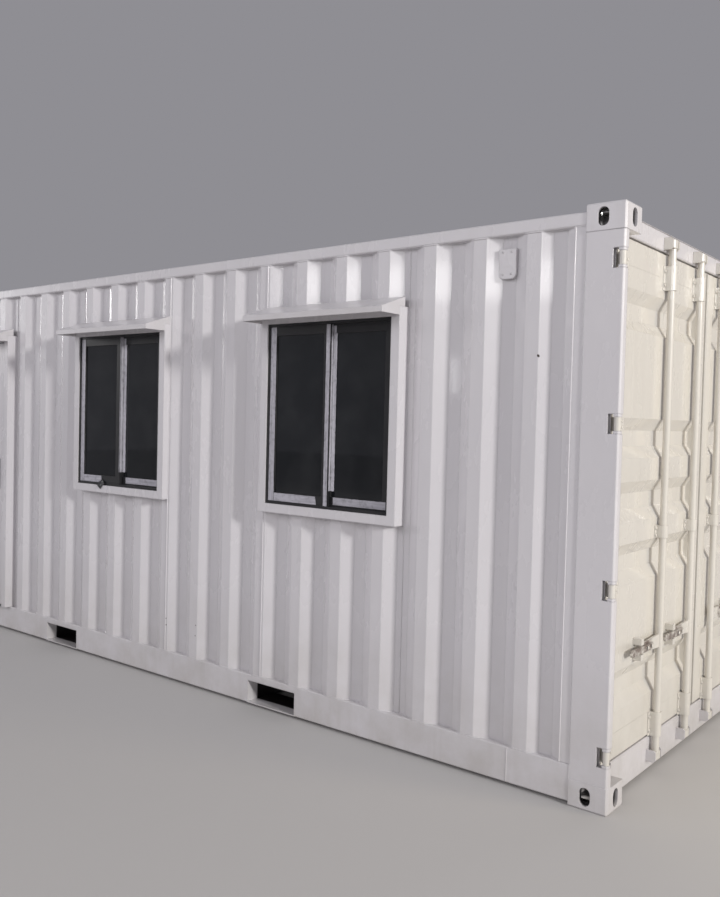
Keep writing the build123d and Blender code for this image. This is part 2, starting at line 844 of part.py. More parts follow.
def cargo_frame(side):
    """Frame of one cargo leaf: pressed channel, open at its back, looking towards +X."""
    middle_y = side * (leaf_inner + leaf_outer) / 2
    with BuildPart() as frame:
        for steel, mode in ((0.0, Mode.ADD), (leaf_steel, Mode.SUBTRACT)):
            with BuildSketch(Plane.YZ.offset(door_face - steel)):
                with Locations((middle_y, leaf_middle)):
                    Rectangle(leaf_width - 2 * steel, leaf_height - 2 * steel)
                    Rectangle(
                        leaf_width - 2 * (leaf_stile_width - steel),
                        leaf_height - 2 * (leaf_rail_height - steel),
                        mode=Mode.SUBTRACT,
                    )
            extrude(amount=-leaf_depth, mode=mode)
    return frame


def cargo_panel(side):
    """Panel of one cargo leaf: sheet with level grooves pressed into it."""
    corners = [(leaf_low + leaf_rail_height, 0.0)]
    for z in groove_heights:
        corners.append((z - groove_flat / 2 - groove_slope, 0.0))
        corners.append((z - groove_flat / 2, groove_depth))
        corners.append((z + groove_flat / 2, groove_depth))
        corners.append((z + groove_flat / 2 + groove_slope, 0.0))
    corners.append((leaf_top - leaf_rail_height, 0.0))
    near = leaf_inner + leaf_stile_width
    far = leaf_outer - leaf_stile_width
    with BuildPart() as panel:
        with BuildSketch(Plane.XZ.offset(-side * near)):
            with BuildLine():
                Polyline(
                    [(door_face - d, z) for z, d in sheet_outline(corners, sheet)],
                    close=True,
                )
            make_face()
        extrude(amount=-side * (far - near))
    return panel


def cargo_gasket(side):
    """Rubber seal round the edge of one cargo leaf."""
    with BuildPart() as gasket:
        with BuildSketch(Plane.YZ.offset(door_face - gasket_setback)):
            with Locations((side * (leaf_inner + leaf_outer) / 2, leaf_middle)):
                Rectangle(leaf_width + 2 * gasket_lip, leaf_height + 2 * gasket_lip)
                Rectangle(leaf_width, leaf_height, mode=Mode.SUBTRACT)
        extrude(amount=-gasket_depth)
    return gasket


def hinge_blades(side):
    """Four blades of one leaf, each with the knuckle that turns about its pin."""
    turning = hinge_notch_height - 2 * (hinge_lug_height + hinge_lug_gap)
    blade_end = side * (leaf_outer + blade_steel / 2)
    half_knuckle = hinge_knuckle_radius / 2
    with BuildPart() as blades:
        for z in hinge_heights:
            with BuildSketch(Plane.XY.offset(z - turning / 2)):
                with BuildLine():
                    Polyline(
                        [
                            (door_face, side * (leaf_outer - blade_length)),
                            (door_face + blade_steel, side * (leaf_outer - blade_length)),
                            (door_face + blade_steel, blade_end),
                            (hinge_x + half_knuckle, side * (hinge_y - half_knuckle)),
                            (hinge_x - half_knuckle, side * (hinge_y + half_knuckle)),
                            (door_face, blade_end),
                        ],
                        close=True,
                    )
                make_face()
                with Locations((hinge_x, side * hinge_y)):
                    RegularPolygon(hinge_knuckle_radius, strap_sides)
                    few_sided(hinge_pin_radius + hinge_play, pin_sides, Mode.SUBTRACT)
            extrude(amount=turning)
    return blades


# Hinge lugs: two at each notch, carrying the pin between them and broken like the post
with BuildPart() as hinge_lugs:
    for side in (-1, 1):
        for z in hinge_heights:
            with BuildSketch(Plane.XY.offset(z)):
                with Locations((hinge_x, side * hinge_y)):
                    RegularPolygon(hinge_pin_radius, pin_sides)
            extrude(amount=(hinge_notch_height - hinge_lug_height) / 2, both=True)
            for low in (z - hinge_notch_height / 2, z + hinge_notch_height / 2 - hinge_lug_height):
                with BuildSketch(Plane.XY.offset(low)) as lug:
                    with Locations((post_face, side * post_side)):
                        Rectangle(
                            hinge_inset + hinge_knuckle_radius,
                            hinge_inset + hinge_knuckle_radius,
                            align=(Align.MAX, Align.MIN if side < 0 else Align.MAX),
                        )
                    outer_corner = lug.vertices().sort_by_distance((post_face, side * post_side))[0]
                    chamfer(outer_corner, length=frame_chamfer)
                extrude(amount=hinge_lug_height)
save(hinge_lugs, "hinge_lugs")


def rod_guides(side):
    """Guides that strap the rods to one leaf, and the catches for its handles."""
    strap_radius = rod_radius + guide_wall
    bore_radius = rod_radius + hinge_play
    with BuildPart() as guides:
        for place in rod_places:
            for middle, tall in guide_places:
                with BuildSketch(Plane.XY.offset(middle - tall / 2)):
                    for radius, mode in ((strap_radius, Mode.ADD), (bore_radius, Mode.SUBTRACT)):
                        with Locations((rod_x, side * place)):
                            few_sided(radius, strap_sides, mode)
                        with Locations((door_face, side * place)):
                            Rectangle(
                                rod_stand_length,
                                2 * radius,
                                align=(Align.MIN, Align.CENTER),
                                mode=mode,
                            )
                    with Locations((door_face, side * place)):
                        Rectangle(leaf_steel, guide_foot_width, align=(Align.MIN, Align.CENTER))
                extrude(amount=tall)
            catch_y = side * (place + catch_from_rod)
            catch_reach = handle_face + handle_steel - door_face
            with BuildSketch(Plane.XZ.offset(-catch_y - catch_width / 2)):
                with Locations((door_face, handle_level)):
                    Rectangle(catch_reach, catch_height, align=(Align.MIN, Align.CENTER))
                with Locations((door_face + leaf_steel, handle_level)):
                    Rectangle(
                        catch_reach,
                        handle_height + 2 * catch_gap,
                        align=(Align.MIN, Align.CENTER),
                        mode=Mode.SUBTRACT,
                    )
            extrude(amount=catch_width)
    return guides


def lock_rod(side, place):
    """One locking rod with its cams, hub plate and handle, turning together."""
    centre = side * place
    with BuildPart() as rod:
        with Locations((rod_x, centre, (rod_low + rod_top) / 2)):
            Cylinder(rod_radius, rod_top - rod_low)
        for low in (rod_low, rod_top - cam_height):
            with BuildSketch(Plane.XY.offset(low)) as cam:
                with Locations((rod_x, centre + side * cam_nose_length / 2)):
                    Rectangle(2 * cam_radius, 2 * cam_radius + cam_nose_length)
                chamfer(cam.vertices(), length=cam_radius / 2)
            extrude(amount=cam_height)
        with BuildSketch(Plane.YZ.offset(rod_x - hub_steel / 2)) as hub:
            with BuildLine():
                Polyline(
                    [
                        (centre, handle_level - hub_height / 2),
                        (centre + side * hub_length, handle_level - hub_end_height / 2),
                        (centre + side * hub_length, handle_level + hub_end_height / 2),
                        (centre, handle_level + hub_height / 2),
                    ],
                    close=True,
                )
            make_face()
            chamfer(hub.vertices().sort_by(Axis.X)[:: side][-2:], length=handle_chamfer)
        extrude(amount=hub_steel)
        with BuildSketch(Plane.YZ.offset(handle_face)) as bar:
            with Locations((centre + side * (handle_start_length + handle_length) / 2, handle_level)):
                Rectangle(handle_length - handle_start_length, handle_height)
            chamfer(bar.vertices(), length=handle_chamfer)
        extrude(amount=handle_steel)
    return rod


for name, side in (("left", -1), ("right", 1)):
    save(cargo_frame(side), f"cargo_{name}_frame")
    save(cargo_panel(side), f"cargo_{name}_panel")
    save(cargo_gasket(side), f"cargo_{name}_gasket")
    save(hinge_blades(side), f"cargo_{name}_hinge_blades")
    save(rod_guides(side), f"cargo_{name}_rod_guides")
    for number, place in enumerate(rod_places, 1):
        save(lock_rod(side, place), f"lock_rod_{name}_{number}")


def cam_keepers(low):
    """Keepers on the frame: an ear on each side of a cam, one pair for each rod end."""
    inner_width = 2 * cam_radius + cam_nose_length + 2 * keeper_gap
    with BuildPart() as keepers:
        with BuildSketch(Plane.XY.offset(low)):
            for side in (-1, 1):
                for place in rod_places:
                    with Locations((door_face, side * (place + cam_nose_length / 2))):
                        Rectangle(
                            keeper_depth,
                            inner_width + 2 * keeper_steel,
                            align=(Align.MIN, Align.CENTER),
                        )
                        Rectangle(
                            keeper_depth,
                            inner_width,
                            align=(Align.MIN, Align.CENTER),
                            mode=Mode.SUBTRACT,
                        )
        extrude(amount=keeper_height)
        tips = keepers.edges().filter_by(Axis.Y).group_by(Axis.X)[-1]
        chamfer(tips, length=keeper_chamfer)
    return keepers


save(cam_keepers(rod_top - (cam_height + keeper_height) / 2), "cam_keepers_top")
save(cam_keepers(rod_low + (cam_height - keeper_height) / 2), "cam_keepers_bottom")

# Ventilators: cowls near the top of both long walls, at opposite ends, seated in a valley
vent_x = wall_crest_edge - (wall_pitch + wall_crest) / 2
far_vent_x = vent_x - 2 * wall_pitch * int(vent_x / wall_pitch)
vent_middle = top_rail_low - vent_below_rail
vent_back = wall_face - wall_depth + vent_stand_length
with BuildPart() as ventilators:
    for side, x in ((-1, vent_x), (1, far_vent_x)):
        with BuildSketch(Plane.XZ.offset(-side * vent_back)) as cover:
            with Locations((x, vent_middle)):
                Rectangle(vent_width, vent_height)
            fillet(cover.vertices().sort_by(Axis.Y)[:2], radius=vent_corner_radius)
        extrude(amount=-side * vent_depth)
        with BuildSketch(Plane.XZ.offset(-side * vent_back)) as hollow:
            with Locations((x, vent_middle)):
                Rectangle(vent_width - 2 * vent_steel, vent_height - 2 * vent_steel)
            fillet(hollow.vertices().sort_by(Axis.Y)[:2], radius=vent_corner_radius - vent_steel)
        extrude(amount=-side * (vent_depth - vent_steel), mode=Mode.SUBTRACT)
        with BuildSketch(Plane.XZ.offset(-side * (wall_face - wall_depth))):
            with Locations((x, vent_middle)):
                Rectangle(vent_neck_width, vent_neck_height)
        extrude(amount=-side * (vent_stand_length + vent_depth - vent_steel))
save(ventilators, "ventilators")
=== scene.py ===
import json
import math
from contextlib import contextmanager

import bmesh
import bpy
from bpy.props import FloatProperty, FloatVectorProperty, PointerProperty
from mathutils import Matrix, Vector


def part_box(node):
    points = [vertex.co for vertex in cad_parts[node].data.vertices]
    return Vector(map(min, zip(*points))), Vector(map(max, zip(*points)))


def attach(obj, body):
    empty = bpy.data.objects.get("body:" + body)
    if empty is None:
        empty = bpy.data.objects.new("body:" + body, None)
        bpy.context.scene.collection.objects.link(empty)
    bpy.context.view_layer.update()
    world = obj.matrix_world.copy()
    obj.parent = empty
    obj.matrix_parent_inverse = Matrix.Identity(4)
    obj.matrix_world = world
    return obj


bl_info = {
    "name": "Container cabin",
    "version": (1, 0, 0),
    "blender": (4, 5, 0),
    "location": "View3D > Sidebar > Cabin",
    "description": "Finishes a steel container cabin with windows, rain hoods and cargo doors",
    "category": "Object",
}

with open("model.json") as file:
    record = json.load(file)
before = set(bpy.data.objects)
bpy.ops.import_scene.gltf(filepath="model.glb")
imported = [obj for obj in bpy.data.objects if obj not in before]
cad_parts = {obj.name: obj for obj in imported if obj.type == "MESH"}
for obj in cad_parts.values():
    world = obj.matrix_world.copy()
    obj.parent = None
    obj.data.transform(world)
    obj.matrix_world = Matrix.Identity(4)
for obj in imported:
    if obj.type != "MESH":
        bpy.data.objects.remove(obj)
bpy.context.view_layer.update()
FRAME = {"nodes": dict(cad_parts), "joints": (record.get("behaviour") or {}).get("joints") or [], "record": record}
NODES = FRAME["nodes"]
JOINTS = {joint["name"]: joint for joint in FRAME["joints"]}
LEAVES = (("left", -1), ("right", 1))
LONG_WALLS = ("window_wall_panels", "window_wall_lower", "window_wall_upper", "back_wall")
BASE_NODES = (
    "bottom_rail_front",
    "bottom_rail_back",
    "cross_members",
    "end_bottom_rail",
    "door_sill",
    "cam_keepers_bottom",
)
ROOF_NODES = ("roof", "roof_end_plates")
END_WALL_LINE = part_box("window_wall_panels")[0].x - 0.01
# X of the upright joint in the lower rail
RAIL_JOINT = 2.544
# Y of the window wall's crests, and X, Z and radius of each chip in their paint
WALL_CREST = -1.211
CHIPS = (
    (2.640, 1.955, 0.007),
    (0.126, 0.383, 0.005),
    (0.128, 0.342, 0.005),
    (0.404, 0.384, 0.004),
    (0.401, 0.320, 0.004),
)
# Near black laid deep inside the castings and the fork pockets: painted shade
PAINTED_SHADE_BLACK = (0.012, 0.010, 0.010)
# How worn the paint low on the box is
BASE_WEAR = {"dust": 0.6, "height": 0.45, "runs": 0.2, "chips": 0.6}
TOWARDS_FRONT = (math.pi / 2, 0.0, 0.0)
TOWARDS_BACK = (-math.pi / 2, 0.0, 0.0)
TOWARDS_DOOR_END = (0.0, math.pi / 2, 0.0)
# Degrees up to which a piece's edges are shaded smooth
BEAD_SMOOTH = 80.0
FILM_SMOOTH = 60.0
COLOUR = {"subtype": "COLOR", "min": 0.0, "max": 1.0}


# Sizes and colours that a user would change


class CabinPaintSettings(bpy.types.PropertyGroup):
    shell: FloatVectorProperty(
        name="Shell paint",
        description="Colour of the gloss paint on walls, posts and roof",
        default=(0.70, 0.68, 0.70),
        **COLOUR,
    )
    # The doors' cream tint is painted warm light: the doors have the walls' paint, tinted to stand for the warm
    # lamp on the door end
    doors: FloatVectorProperty(
        name="Door paint",
        description="Colour of the gloss paint on the cargo doors",
        default=(0.72, 0.69, 0.63),
        **COLOUR,
    )
    dust: FloatVectorProperty(
        name="Dust",
        description="Colour of the dust that settles low on the walls and on the roof",
        default=(0.36, 0.33, 0.28),
        **COLOUR,
    )
    bare: FloatVectorProperty(
        name="Bare spots",
        description="Colour of the dark primer in a paint chip",
        default=(0.06, 0.045, 0.04),
        **COLOUR,
    )
    roughness: FloatProperty(
        name="Paint roughness",
        description="Roughness of clean paint",
        default=0.22,
        min=0.0,
        max=1.0,
        subtype="FACTOR",
    )
    bend: FloatProperty(
        name="Bend radius",
        description="Radius at which the pressed sheet's bends catch the light",
        default=0.008,
        min=0.0,
        unit="LENGTH",
    )


class CabinWeldSettings(bpy.types.PropertyGroup):
    bead: FloatProperty(
        name="Weld bead",
        description="Radius of the beads along the pressed walls",
        default=0.004,
        min=0.001,
        unit="LENGTH",
    )
    fine_bead: FloatProperty(
        name="Fine weld bead",
        description="Radius of the beads on the frame, where they stay inside the castings' faces",
        default=0.0022,
        min=0.001,
        unit="LENGTH",
    )
    ripple: FloatProperty(
        name="Bead ripple",
        description="How far a bead swells and thins along its run",
        default=0.0016,
        min=0.0,
        unit="LENGTH",
    )
    sealant: FloatProperty(
        name="Sealant bead",
        description="Radius of the sealant round the window frames",
        default=0.0026,
        min=0.001,
        unit="LENGTH",
    )


class CabinFilmSettings(bpy.types.PropertyGroup):
    colour: FloatVectorProperty(
        name="Film",
        description="Colour of the protective film left on the window sashes",
        default=(0.50, 0.49, 0.54),
        **COLOUR,
    )
    lift: FloatProperty(
        name="Film lift",
        description="How far the film stands off the sash that it covers",
        default=0.0007,
        min=0.0002,
        unit="LENGTH",
    )
    wrinkle: FloatProperty(
        name="Film wrinkles",
        description="Height of the wrinkles in the film",
        default=0.0012,
        min=0.0,
        unit="LENGTH",
    )


class CabinFixingSettings(bpy.types.PropertyGroup):
    bolt: FloatProperty(
        name="Bolt head",
        description="Radius of a bolt head on the rod guides",
        default=0.0085,
        min=0.002,
        unit="LENGTH",
    )
    rivet: FloatProperty(
        name="Rivet head",
        description="Radius of a rivet head on the hinge blades",
        default=0.009,
        min=0.002,
        unit="LENGTH",
    )
    screw: FloatProperty(
        name="Screw head",
        description="Radius of a screw head on the entry door's fittings",
        default=0.0045,
        min=0.002,
        unit="LENGTH",
    )


class CabinStageSettings(bpy.types.PropertyGroup):
    floor_size: FloatProperty(
        name="Floor size",
        description="Width of the studio floor",
        default=60.0,
        min=10.0,
        unit="LENGTH",
    )
    lens: FloatProperty(
        name="Lens",
        description="Focal length for a 36 mm sensor along the picture's long side",
        default=35.6,
        min=10.0,
    )


# Places read from the construction


def levels(node, axis):
    """Coordinates along one axis at which a node of the construction has corners, lowest first."""
    return sorted({round(corner.co[axis], 4) for corner in NODES[node].data.vertices})


def near(value, target):
    tolerance = 0.0004
    return abs(value - target) < tolerance


# Modelling steps


def select_only(*pieces):
    bpy.ops.object.select_all(action="DESELECT")
    for piece in pieces:
        piece.select_set(True)
    bpy.context.view_layer.objects.active = pieces[0]


def add_primitive(name, primitive, **values):
    bpy.ops.object.select_all(action="DESELECT")
    primitive(**values)
    piece = bpy.context.active_object
    piece.name = piece.data.name = name
    return piece


@contextmanager
def editing(piece, kind="FACE"):
    """Edit mode on one piece, selected all over, with the kind of element that is picked."""
    select_only(piece)
    bpy.ops.object.mode_set(mode="EDIT")
    bpy.ops.mesh.select_mode(type=kind)
    bpy.ops.mesh.select_all(action="SELECT")
    yield
    bpy.ops.object.mode_set(mode="OBJECT")


def pick(piece, kind, wanted):
    """In edit mode, select only the faces or edges that pass a test."""
    bpy.ops.mesh.select_all(action="DESELECT")
    mesh = bmesh.from_edit_mesh(piece.data)
    for element in getattr(mesh, kind):
        if wanted(element):
            element.select_set(True)
    bmesh.update_edit_mesh(piece.data)


def apply_modifier(piece, kind, **values):
    select_only(piece)
    modifier = piece.modifiers.new(kind.lower(), kind)
    for key, value in values.items():
        setattr(modifier, key, value)
    bpy.ops.object.modifier_apply(modifier=modifier.name)


def roughen(piece, amount, size, middle=0.5, direction="NORMAL"):
    """Push a surface in and out by a cloud pattern of the given size."""
    pattern = bpy.data.textures.new(piece.name, "CLOUDS")
    pattern.noise_scale = size
    apply_modifier(
        piece,
        "DISPLACE",
        texture=pattern,
        texture_coords="LOCAL",
        strength=amount,
        mid_level=middle,
        direction=direction,
    )


def deliver(piece, body, material, smooth=40.0):
    """Fix a finished piece's place in its mesh, shade it and tie it to its body."""
    select_only(piece)
    bpy.ops.object.transform_apply(location=True, rotation=True, scale=True)
    bpy.ops.object.shade_smooth_by_angle(angle=math.radians(smooth))
    piece.data.materials.clear()
    piece.data.materials.append(bpy.data.materials[material])
    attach(piece, body)


def repeat(name, master, places, turn):
    """Copy a small part to each place, turned alike, and join the copies into one piece."""
    copies = []
    for place in places:
        select_only(master)
        bpy.ops.object.duplicate()
        copy = bpy.context.active_object
        copy.location = place
        copy.rotation_euler = turn
        copies.append(copy)
    select_only(*copies)
    if len(copies) > 1:
        bpy.ops.object.join()
    piece = bpy.context.active_object
    piece.name = piece.data.name = name
    return piece


def discard(piece):
    select_only(piece)
    bpy.ops.object.delete()


def disc(name, sides, radius):
    """Flat face on the XY plane, the start of a head or a lock."""
    return add_primitive(
        name, bpy.ops.mesh.primitive_circle_add, vertices=sides, radius=radius, fill_type="NGON"
    )


def draw_up(height, narrower=1.0):
    """In edit mode, extrude the selected faces up Z and narrow their end."""
    bpy.ops.mesh.extrude_region_move(TRANSFORM_OT_translate={"value": (0.0, 0.0, height)})
    if narrower < 1.0:
        bpy.ops.transform.resize(value=(narrower, narrower, 1.0))


def rivet_head(name, radius, height, sides=14):
    """Domed head that stands on the XY plane and looks up Z."""
    piece = disc(name, sides, radius)
    with editing(piece):
        for share, narrower in ((0.45, 0.93), (0.35, 0.72), (0.20, 0.45)):
            draw_up(share * height, narrower)
    return piece


def bolt_head(name, radius, height):
    """Hexagon head on a washer, standing on the XY plane."""
    washer = disc(name, 18, 1.25 * radius)
    with editing(washer):
        draw_up(0.2 * height)
    head = disc(name, 6, radius)
    with editing(head):
        draw_up(0.85 * height)
        draw_up(0.15 * height, 0.85)
    select_only(washer, head)
    bpy.ops.object.join()
    return washer


def slotted_head(name, radius, height):
    """Low round screw head with a slot, standing on the XY plane."""
    piece = rivet_head(name, radius, 0.7 * height, sides=12)
    with editing(piece):
        pick(piece, "faces", lambda face: face.normal.z > 0.95 and face.calc_center_median().z > 0.0)
        bpy.ops.mesh.inset(thickness=0.15 * radius, depth=0.0)
        bpy.ops.transform.resize(value=(1.0, 0.35, 1.0))
        draw_up(-0.3 * height)
    return piece


def seam(name, nodes, on_seam, radius, cuts, ripple, joint=None):
    """Uneven round bead along the construction's edges that pass a test, and where X is joint."""
    copies = []
    for node in nodes:
        copy = bpy.data.objects.new(name, NODES[node].data.copy())
        bpy.context.scene.collection.objects.link(copy)
        copies.append(copy)
    select_only(*copies)
    if len(copies) > 1:
        bpy.ops.object.join()
    piece = bpy.context.active_object
    with editing(piece, "EDGE"):
        bpy.ops.mesh.remove_doubles(threshold=0.00001)
        bpy.ops.mesh.customdata_custom_splitnormals_clear()
        if joint is not None:
            bpy.ops.mesh.bisect(plane_co=(joint, 0.0, 0.0), plane_no=(1.0, 0.0, 0.0))
        pick(piece, "edges", lambda edge: not on_seam(edge))
        bpy.ops.mesh.delete(type="EDGE")
        bpy.ops.mesh.select_all(action="SELECT")
        bpy.ops.mesh.subdivide(number_cuts=cuts)
    bpy.ops.object.convert(target="CURVE")
    piece = bpy.context.active_object
    piece.data.bevel_depth = radius
    piece.data.bevel_resolution = 1
    piece.data.use_fill_caps = True
    bpy.ops.object.convert(target="MESH")
    piece = bpy.context.active_object
    piece.name = piece.data.name = name
    if ripple:
        roughen(piece, ripple, 0.012)
    return piece


def weld(name, nodes, on_seam, radius, cuts, ripple, paint="weld enamel", body="cabin", joint=None):
    """Painted bead along a seam, tied to its body."""
    bead = seam(name, nodes, on_seam, radius, cuts, ripple, joint)
    deliver(bead, body, paint, BEAD_SMOOTH)


def between(edge, first, second):
    """Whether an edge parts a face that passes the first test from one that passes the second."""
    normals = [face.normal for face in edge.link_faces]
    if len(normals) != 2:
        return False
    return any(first(a) and second(b) for a, b in (normals, reversed(normals)))


def looks_out(edge):
    """Test for normals that look out of the box where an edge stands."""
    middle = (edge.verts[0].co + edge.verts[1].co) / 2
    if middle.x < END_WALL_LINE:
        return lambda normal: normal.x < -0.05
    return lambda normal: normal.y * middle.y > 0.05


def is_level(normal):
    return abs(normal.z) > 0.9


def is_cut_end(normal):
    return abs(normal.x) > 0.999


# Shared effects


def node_group(name, inputs, outputs):
    group = bpy.data.node_groups.new(name, "ShaderNodeTree")
    for label, kind, value in inputs:
        socket = group.interface.new_socket(label, in_out="INPUT", socket_type=kind)
        if value is not None:
            socket.default_value = value
    for label, kind in outputs:
        group.interface.new_socket(label, in_out="OUTPUT", socket_type=kind)
    return group


def add_node(tree, kind, **values):
    node = tree.nodes.new(kind)
    for key, value in values.items():
        setattr(node, key, value)
    return node


def feed(tree, value, socket):
    """Link a socket, or set its value."""
    if isinstance(value, bpy.types.NodeSocket):
        tree.links.new(value, socket)
    else:
        socket.default_value = value


def ramp(tree, source, low, high):
    """Map a value so that low gives 0 and high gives 1."""
    node = add_node(tree, "ShaderNodeMapRange")
    node.inputs["From Min"].default_value = low
    node.inputs["From Max"].default_value = high
    tree.links.new(source, node.inputs["Value"])
    return node.outputs["Result"]


def calc(tree, operation, first, second):
    node = add_node(tree, "ShaderNodeMath", operation=operation)
    feed(tree, first, node.inputs[0])
    feed(tree, second, node.inputs[1])
    return node.outputs[0]


def multiply(tree, product, *factors):
    for factor in factors:
        product = calc(tree, "MULTIPLY", product, factor)
    return product


def split(tree, vector):
    """X, Y and Z of a vector."""
    axes = add_node(tree, "ShaderNodeSeparateXYZ")
    tree.links.new(vector, axes.inputs[0])
    return axes.outputs


def blend_colour(tree, factor, first, second, kind="MIX"):
    node = add_node(tree, "ShaderNodeMix", data_type="RGBA", blend_type=kind)
    for socket, value in ((node.inputs[0], factor), (node.inputs[6], first), (node.inputs[7], second)):
        feed(tree, value, socket)
    return node.outputs[2]


def noise(tree, vector, scale, detail=3.0, roughness=0.5, stretch=(1.0, 1.0, 1.0)):
    """Cloud pattern; a stretch below 1 draws it out along that axis."""
    placed = add_node(tree, "ShaderNodeMapping")
    placed.inputs["Scale"].default_value = stretch
    tree.links.new(vector, placed.inputs["Vector"])
    node = add_node(tree, "ShaderNodeTexNoise")
    node.inputs["Scale"].default_value = scale
    node.inputs["Detail"].default_value = detail
    node.inputs["Roughness"].default_value = roughness
    tree.links.new(placed.outputs["Vector"], node.inputs["Vector"])
    return node.outputs["Fac"]


def enamel_group():
    """Sprayed gloss paint: uneven sheet, run marks, orange peel, dust low down and small chips."""
    group = node_group(
        "sprayed enamel",
        [
            ("Vector", "NodeSocketVector", None),
            ("Paint", "NodeSocketColor", (0.7, 0.7, 0.7, 1.0)),
            ("Dust", "NodeSocketColor", (0.4, 0.4, 0.4, 1.0)),
            ("Bare", "NodeSocketColor", (0.1, 0.05, 0.03, 1.0)),
            ("Roughness", "NodeSocketFloat", 0.25),
            ("Dust Amount", "NodeSocketFloat", 0.3),
            ("Dust Height", "NodeSocketFloat", 0.6),
            ("Runs", "NodeSocketFloat", 0.2),
            ("Chips", "NodeSocketFloat", 0.3),
        ],
        [
            ("Color", "NodeSocketColor"),
            ("Roughness", "NodeSocketFloat"),
            ("Height", "NodeSocketFloat"),
        ],
    )
    start = add_node(group, "NodeGroupInput")
    end = add_node(group, "NodeGroupOutput")
    vector = start.outputs["Vector"]

    cloud = ramp(group, noise(group, vector, 1.3, 4.0), 0.3, 0.7)
    shade = blend_colour(
        group, multiply(group, cloud, 0.10), start.outputs["Paint"], (0.5, 0.5, 0.55, 1.0)
    )
    run = ramp(group, noise(group, vector, 11.0, 5.0, 0.6, (1.0, 1.0, 0.07)), 0.52, 0.78)
    shade = blend_colour(group, multiply(group, run, start.outputs["Runs"]), shade, start.outputs["Dust"])

    chip_field = noise(group, vector, 31.0, 5.0, 0.65)
    chip_limit = calc(group, "SUBTRACT", 0.83, multiply(group, start.outputs["Chips"], 0.07))
    chip = calc(group, "GREATER_THAN", chip_field, chip_limit)
    shade = blend_colour(group, chip, shade, start.outputs["Bare"])

    share = calc(group, "DIVIDE", split(group, vector)["Z"], start.outputs["Dust Height"])
    low = calc(group, "MAXIMUM", calc(group, "SUBTRACT", 1.0, share), 0.0)
    patches = ramp(group, noise(group, vector, 4.0, 6.0, 0.65), 0.25, 0.75)
    dust = multiply(group, low, patches, start.outputs["Dust Amount"])
    colour = blend_colour(group, dust, shade, start.outputs["Dust"])
    group.links.new(colour, end.inputs["Color"])

    smear = noise(group, vector, 7.0, 5.0, 0.6, (1.0, 1.0, 0.4))
    rough = calc(group, "ADD", start.outputs["Roughness"], multiply(group, smear, 0.10))
    rough = calc(group, "ADD", rough, multiply(group, dust, 0.5))
    group.links.new(rough, end.inputs["Roughness"])

    wave = multiply(group, noise(group, vector, 4.5, 2.0), 0.0030)
    buckle = multiply(group, noise(group, vector, 26.0, 2.0), 0.00040)
    peel = multiply(group, noise(group, vector, 420.0, 2.0), 0.00002)
    height = calc(group, "ADD", calc(group, "ADD", wave, buckle), peel)
    height = calc(group, "SUBTRACT", height, multiply(group, chip, 0.0002))
    group.links.new(height, end.inputs["Height"])
    return group


def grime_group():
    """Fine mottling for a plain finish: a darker mask, its roughness and its height."""
    group = node_group(
        "fine grime",
        [
            ("Vector", "NodeSocketVector", None),
            ("Grain", "NodeSocketFloat", 120.0),
            ("Roughness", "NodeSocketFloat", 0.4),
        ],
        [("Mask", "NodeSocketFloat"), ("Roughness", "NodeSocketFloat"), ("Height", "NodeSocketFloat")],
    )
    start = add_node(group, "NodeGroupInput")
    end = add_node(group, "NodeGroupOutput")
    fine = add_node(group, "ShaderNodeTexNoise")
    fine.inputs["Detail"].default_value = 4.0
    group.links.new(start.outputs["Vector"], fine.inputs["Vector"])
    group.links.new(start.outputs["Grain"], fine.inputs["Scale"])
    broad = noise(group, start.outputs["Vector"], 6.0, 5.0, 0.6)
    mask = multiply(group, ramp(group, broad, 0.35, 0.75), fine.outputs["Fac"])
    group.links.new(mask, end.inputs["Mask"])
    rough = calc(group, "ADD", start.outputs["Roughness"], multiply(group, mask, 0.15))
    group.links.new(rough, end.inputs["Roughness"])
    group.links.new(fine.outputs["Fac"], end.inputs["Height"])
    return group


# Materials


def new_material(name):
    material = bpy.data.materials.new(name)
    material.use_nodes = True
    tree = material.node_tree
    place = add_node(tree, "ShaderNodeTexCoord")
    return tree, tree.nodes["Principled BSDF"], place.outputs["Object"]


def painted(name):
    """Node tree of a paint made before, and its place on the object."""
    tree = bpy.data.materials[name].node_tree
    return tree, tree.nodes["Texture Coordinate"].outputs["Object"]


def bump(tree, shader, height, distance, bend=0.0):
    """Relief from a height, over bends rounded to a radius where one is given."""
    node = add_node(tree, "ShaderNodeBump")
    node.inputs["Distance"].default_value = distance
    tree.links.new(height, node.inputs["Height"])
    if bend:
        rounded = add_node(tree, "ShaderNodeBevel", samples=4)
        rounded.inputs["Radius"].default_value = bend
        tree.links.new(rounded.outputs["Normal"], node.inputs["Normal"])
    tree.links.new(node.outputs["Normal"], shader.inputs["Normal"])


def enamel(settings, group, name, colour, bend, dust=0.5, height=0.7, runs=0.1, chips=0.3):
    tree, shader, place = new_material(name)
    effect = add_node(tree, "ShaderNodeGroup", node_tree=group)
    tree.links.new(place, effect.inputs["Vector"])
    values = {
        "Paint": (*colour, 1.0),
        "Dust": (*settings.dust, 1.0),
        "Bare": (*settings.bare, 1.0),
        "Roughness": settings.roughness,
        "Dust Amount": dust,
        "Dust Height": height,
        "Runs": runs,
        "Chips": chips,
    }
    for label, value in values.items():
        effect.inputs[label].default_value = value
    tree.links.new(effect.outputs["Color"], shader.inputs["Base Color"])
    tree.links.new(effect.outputs["Roughness"], shader.inputs["Roughness"])
    shader.inputs["Coat Weight"].default_value = 0.6
    shader.inputs["Coat Roughness"].default_value = 0.07
    bump(tree, shader, effect.outputs["Height"], 1.0, bend)


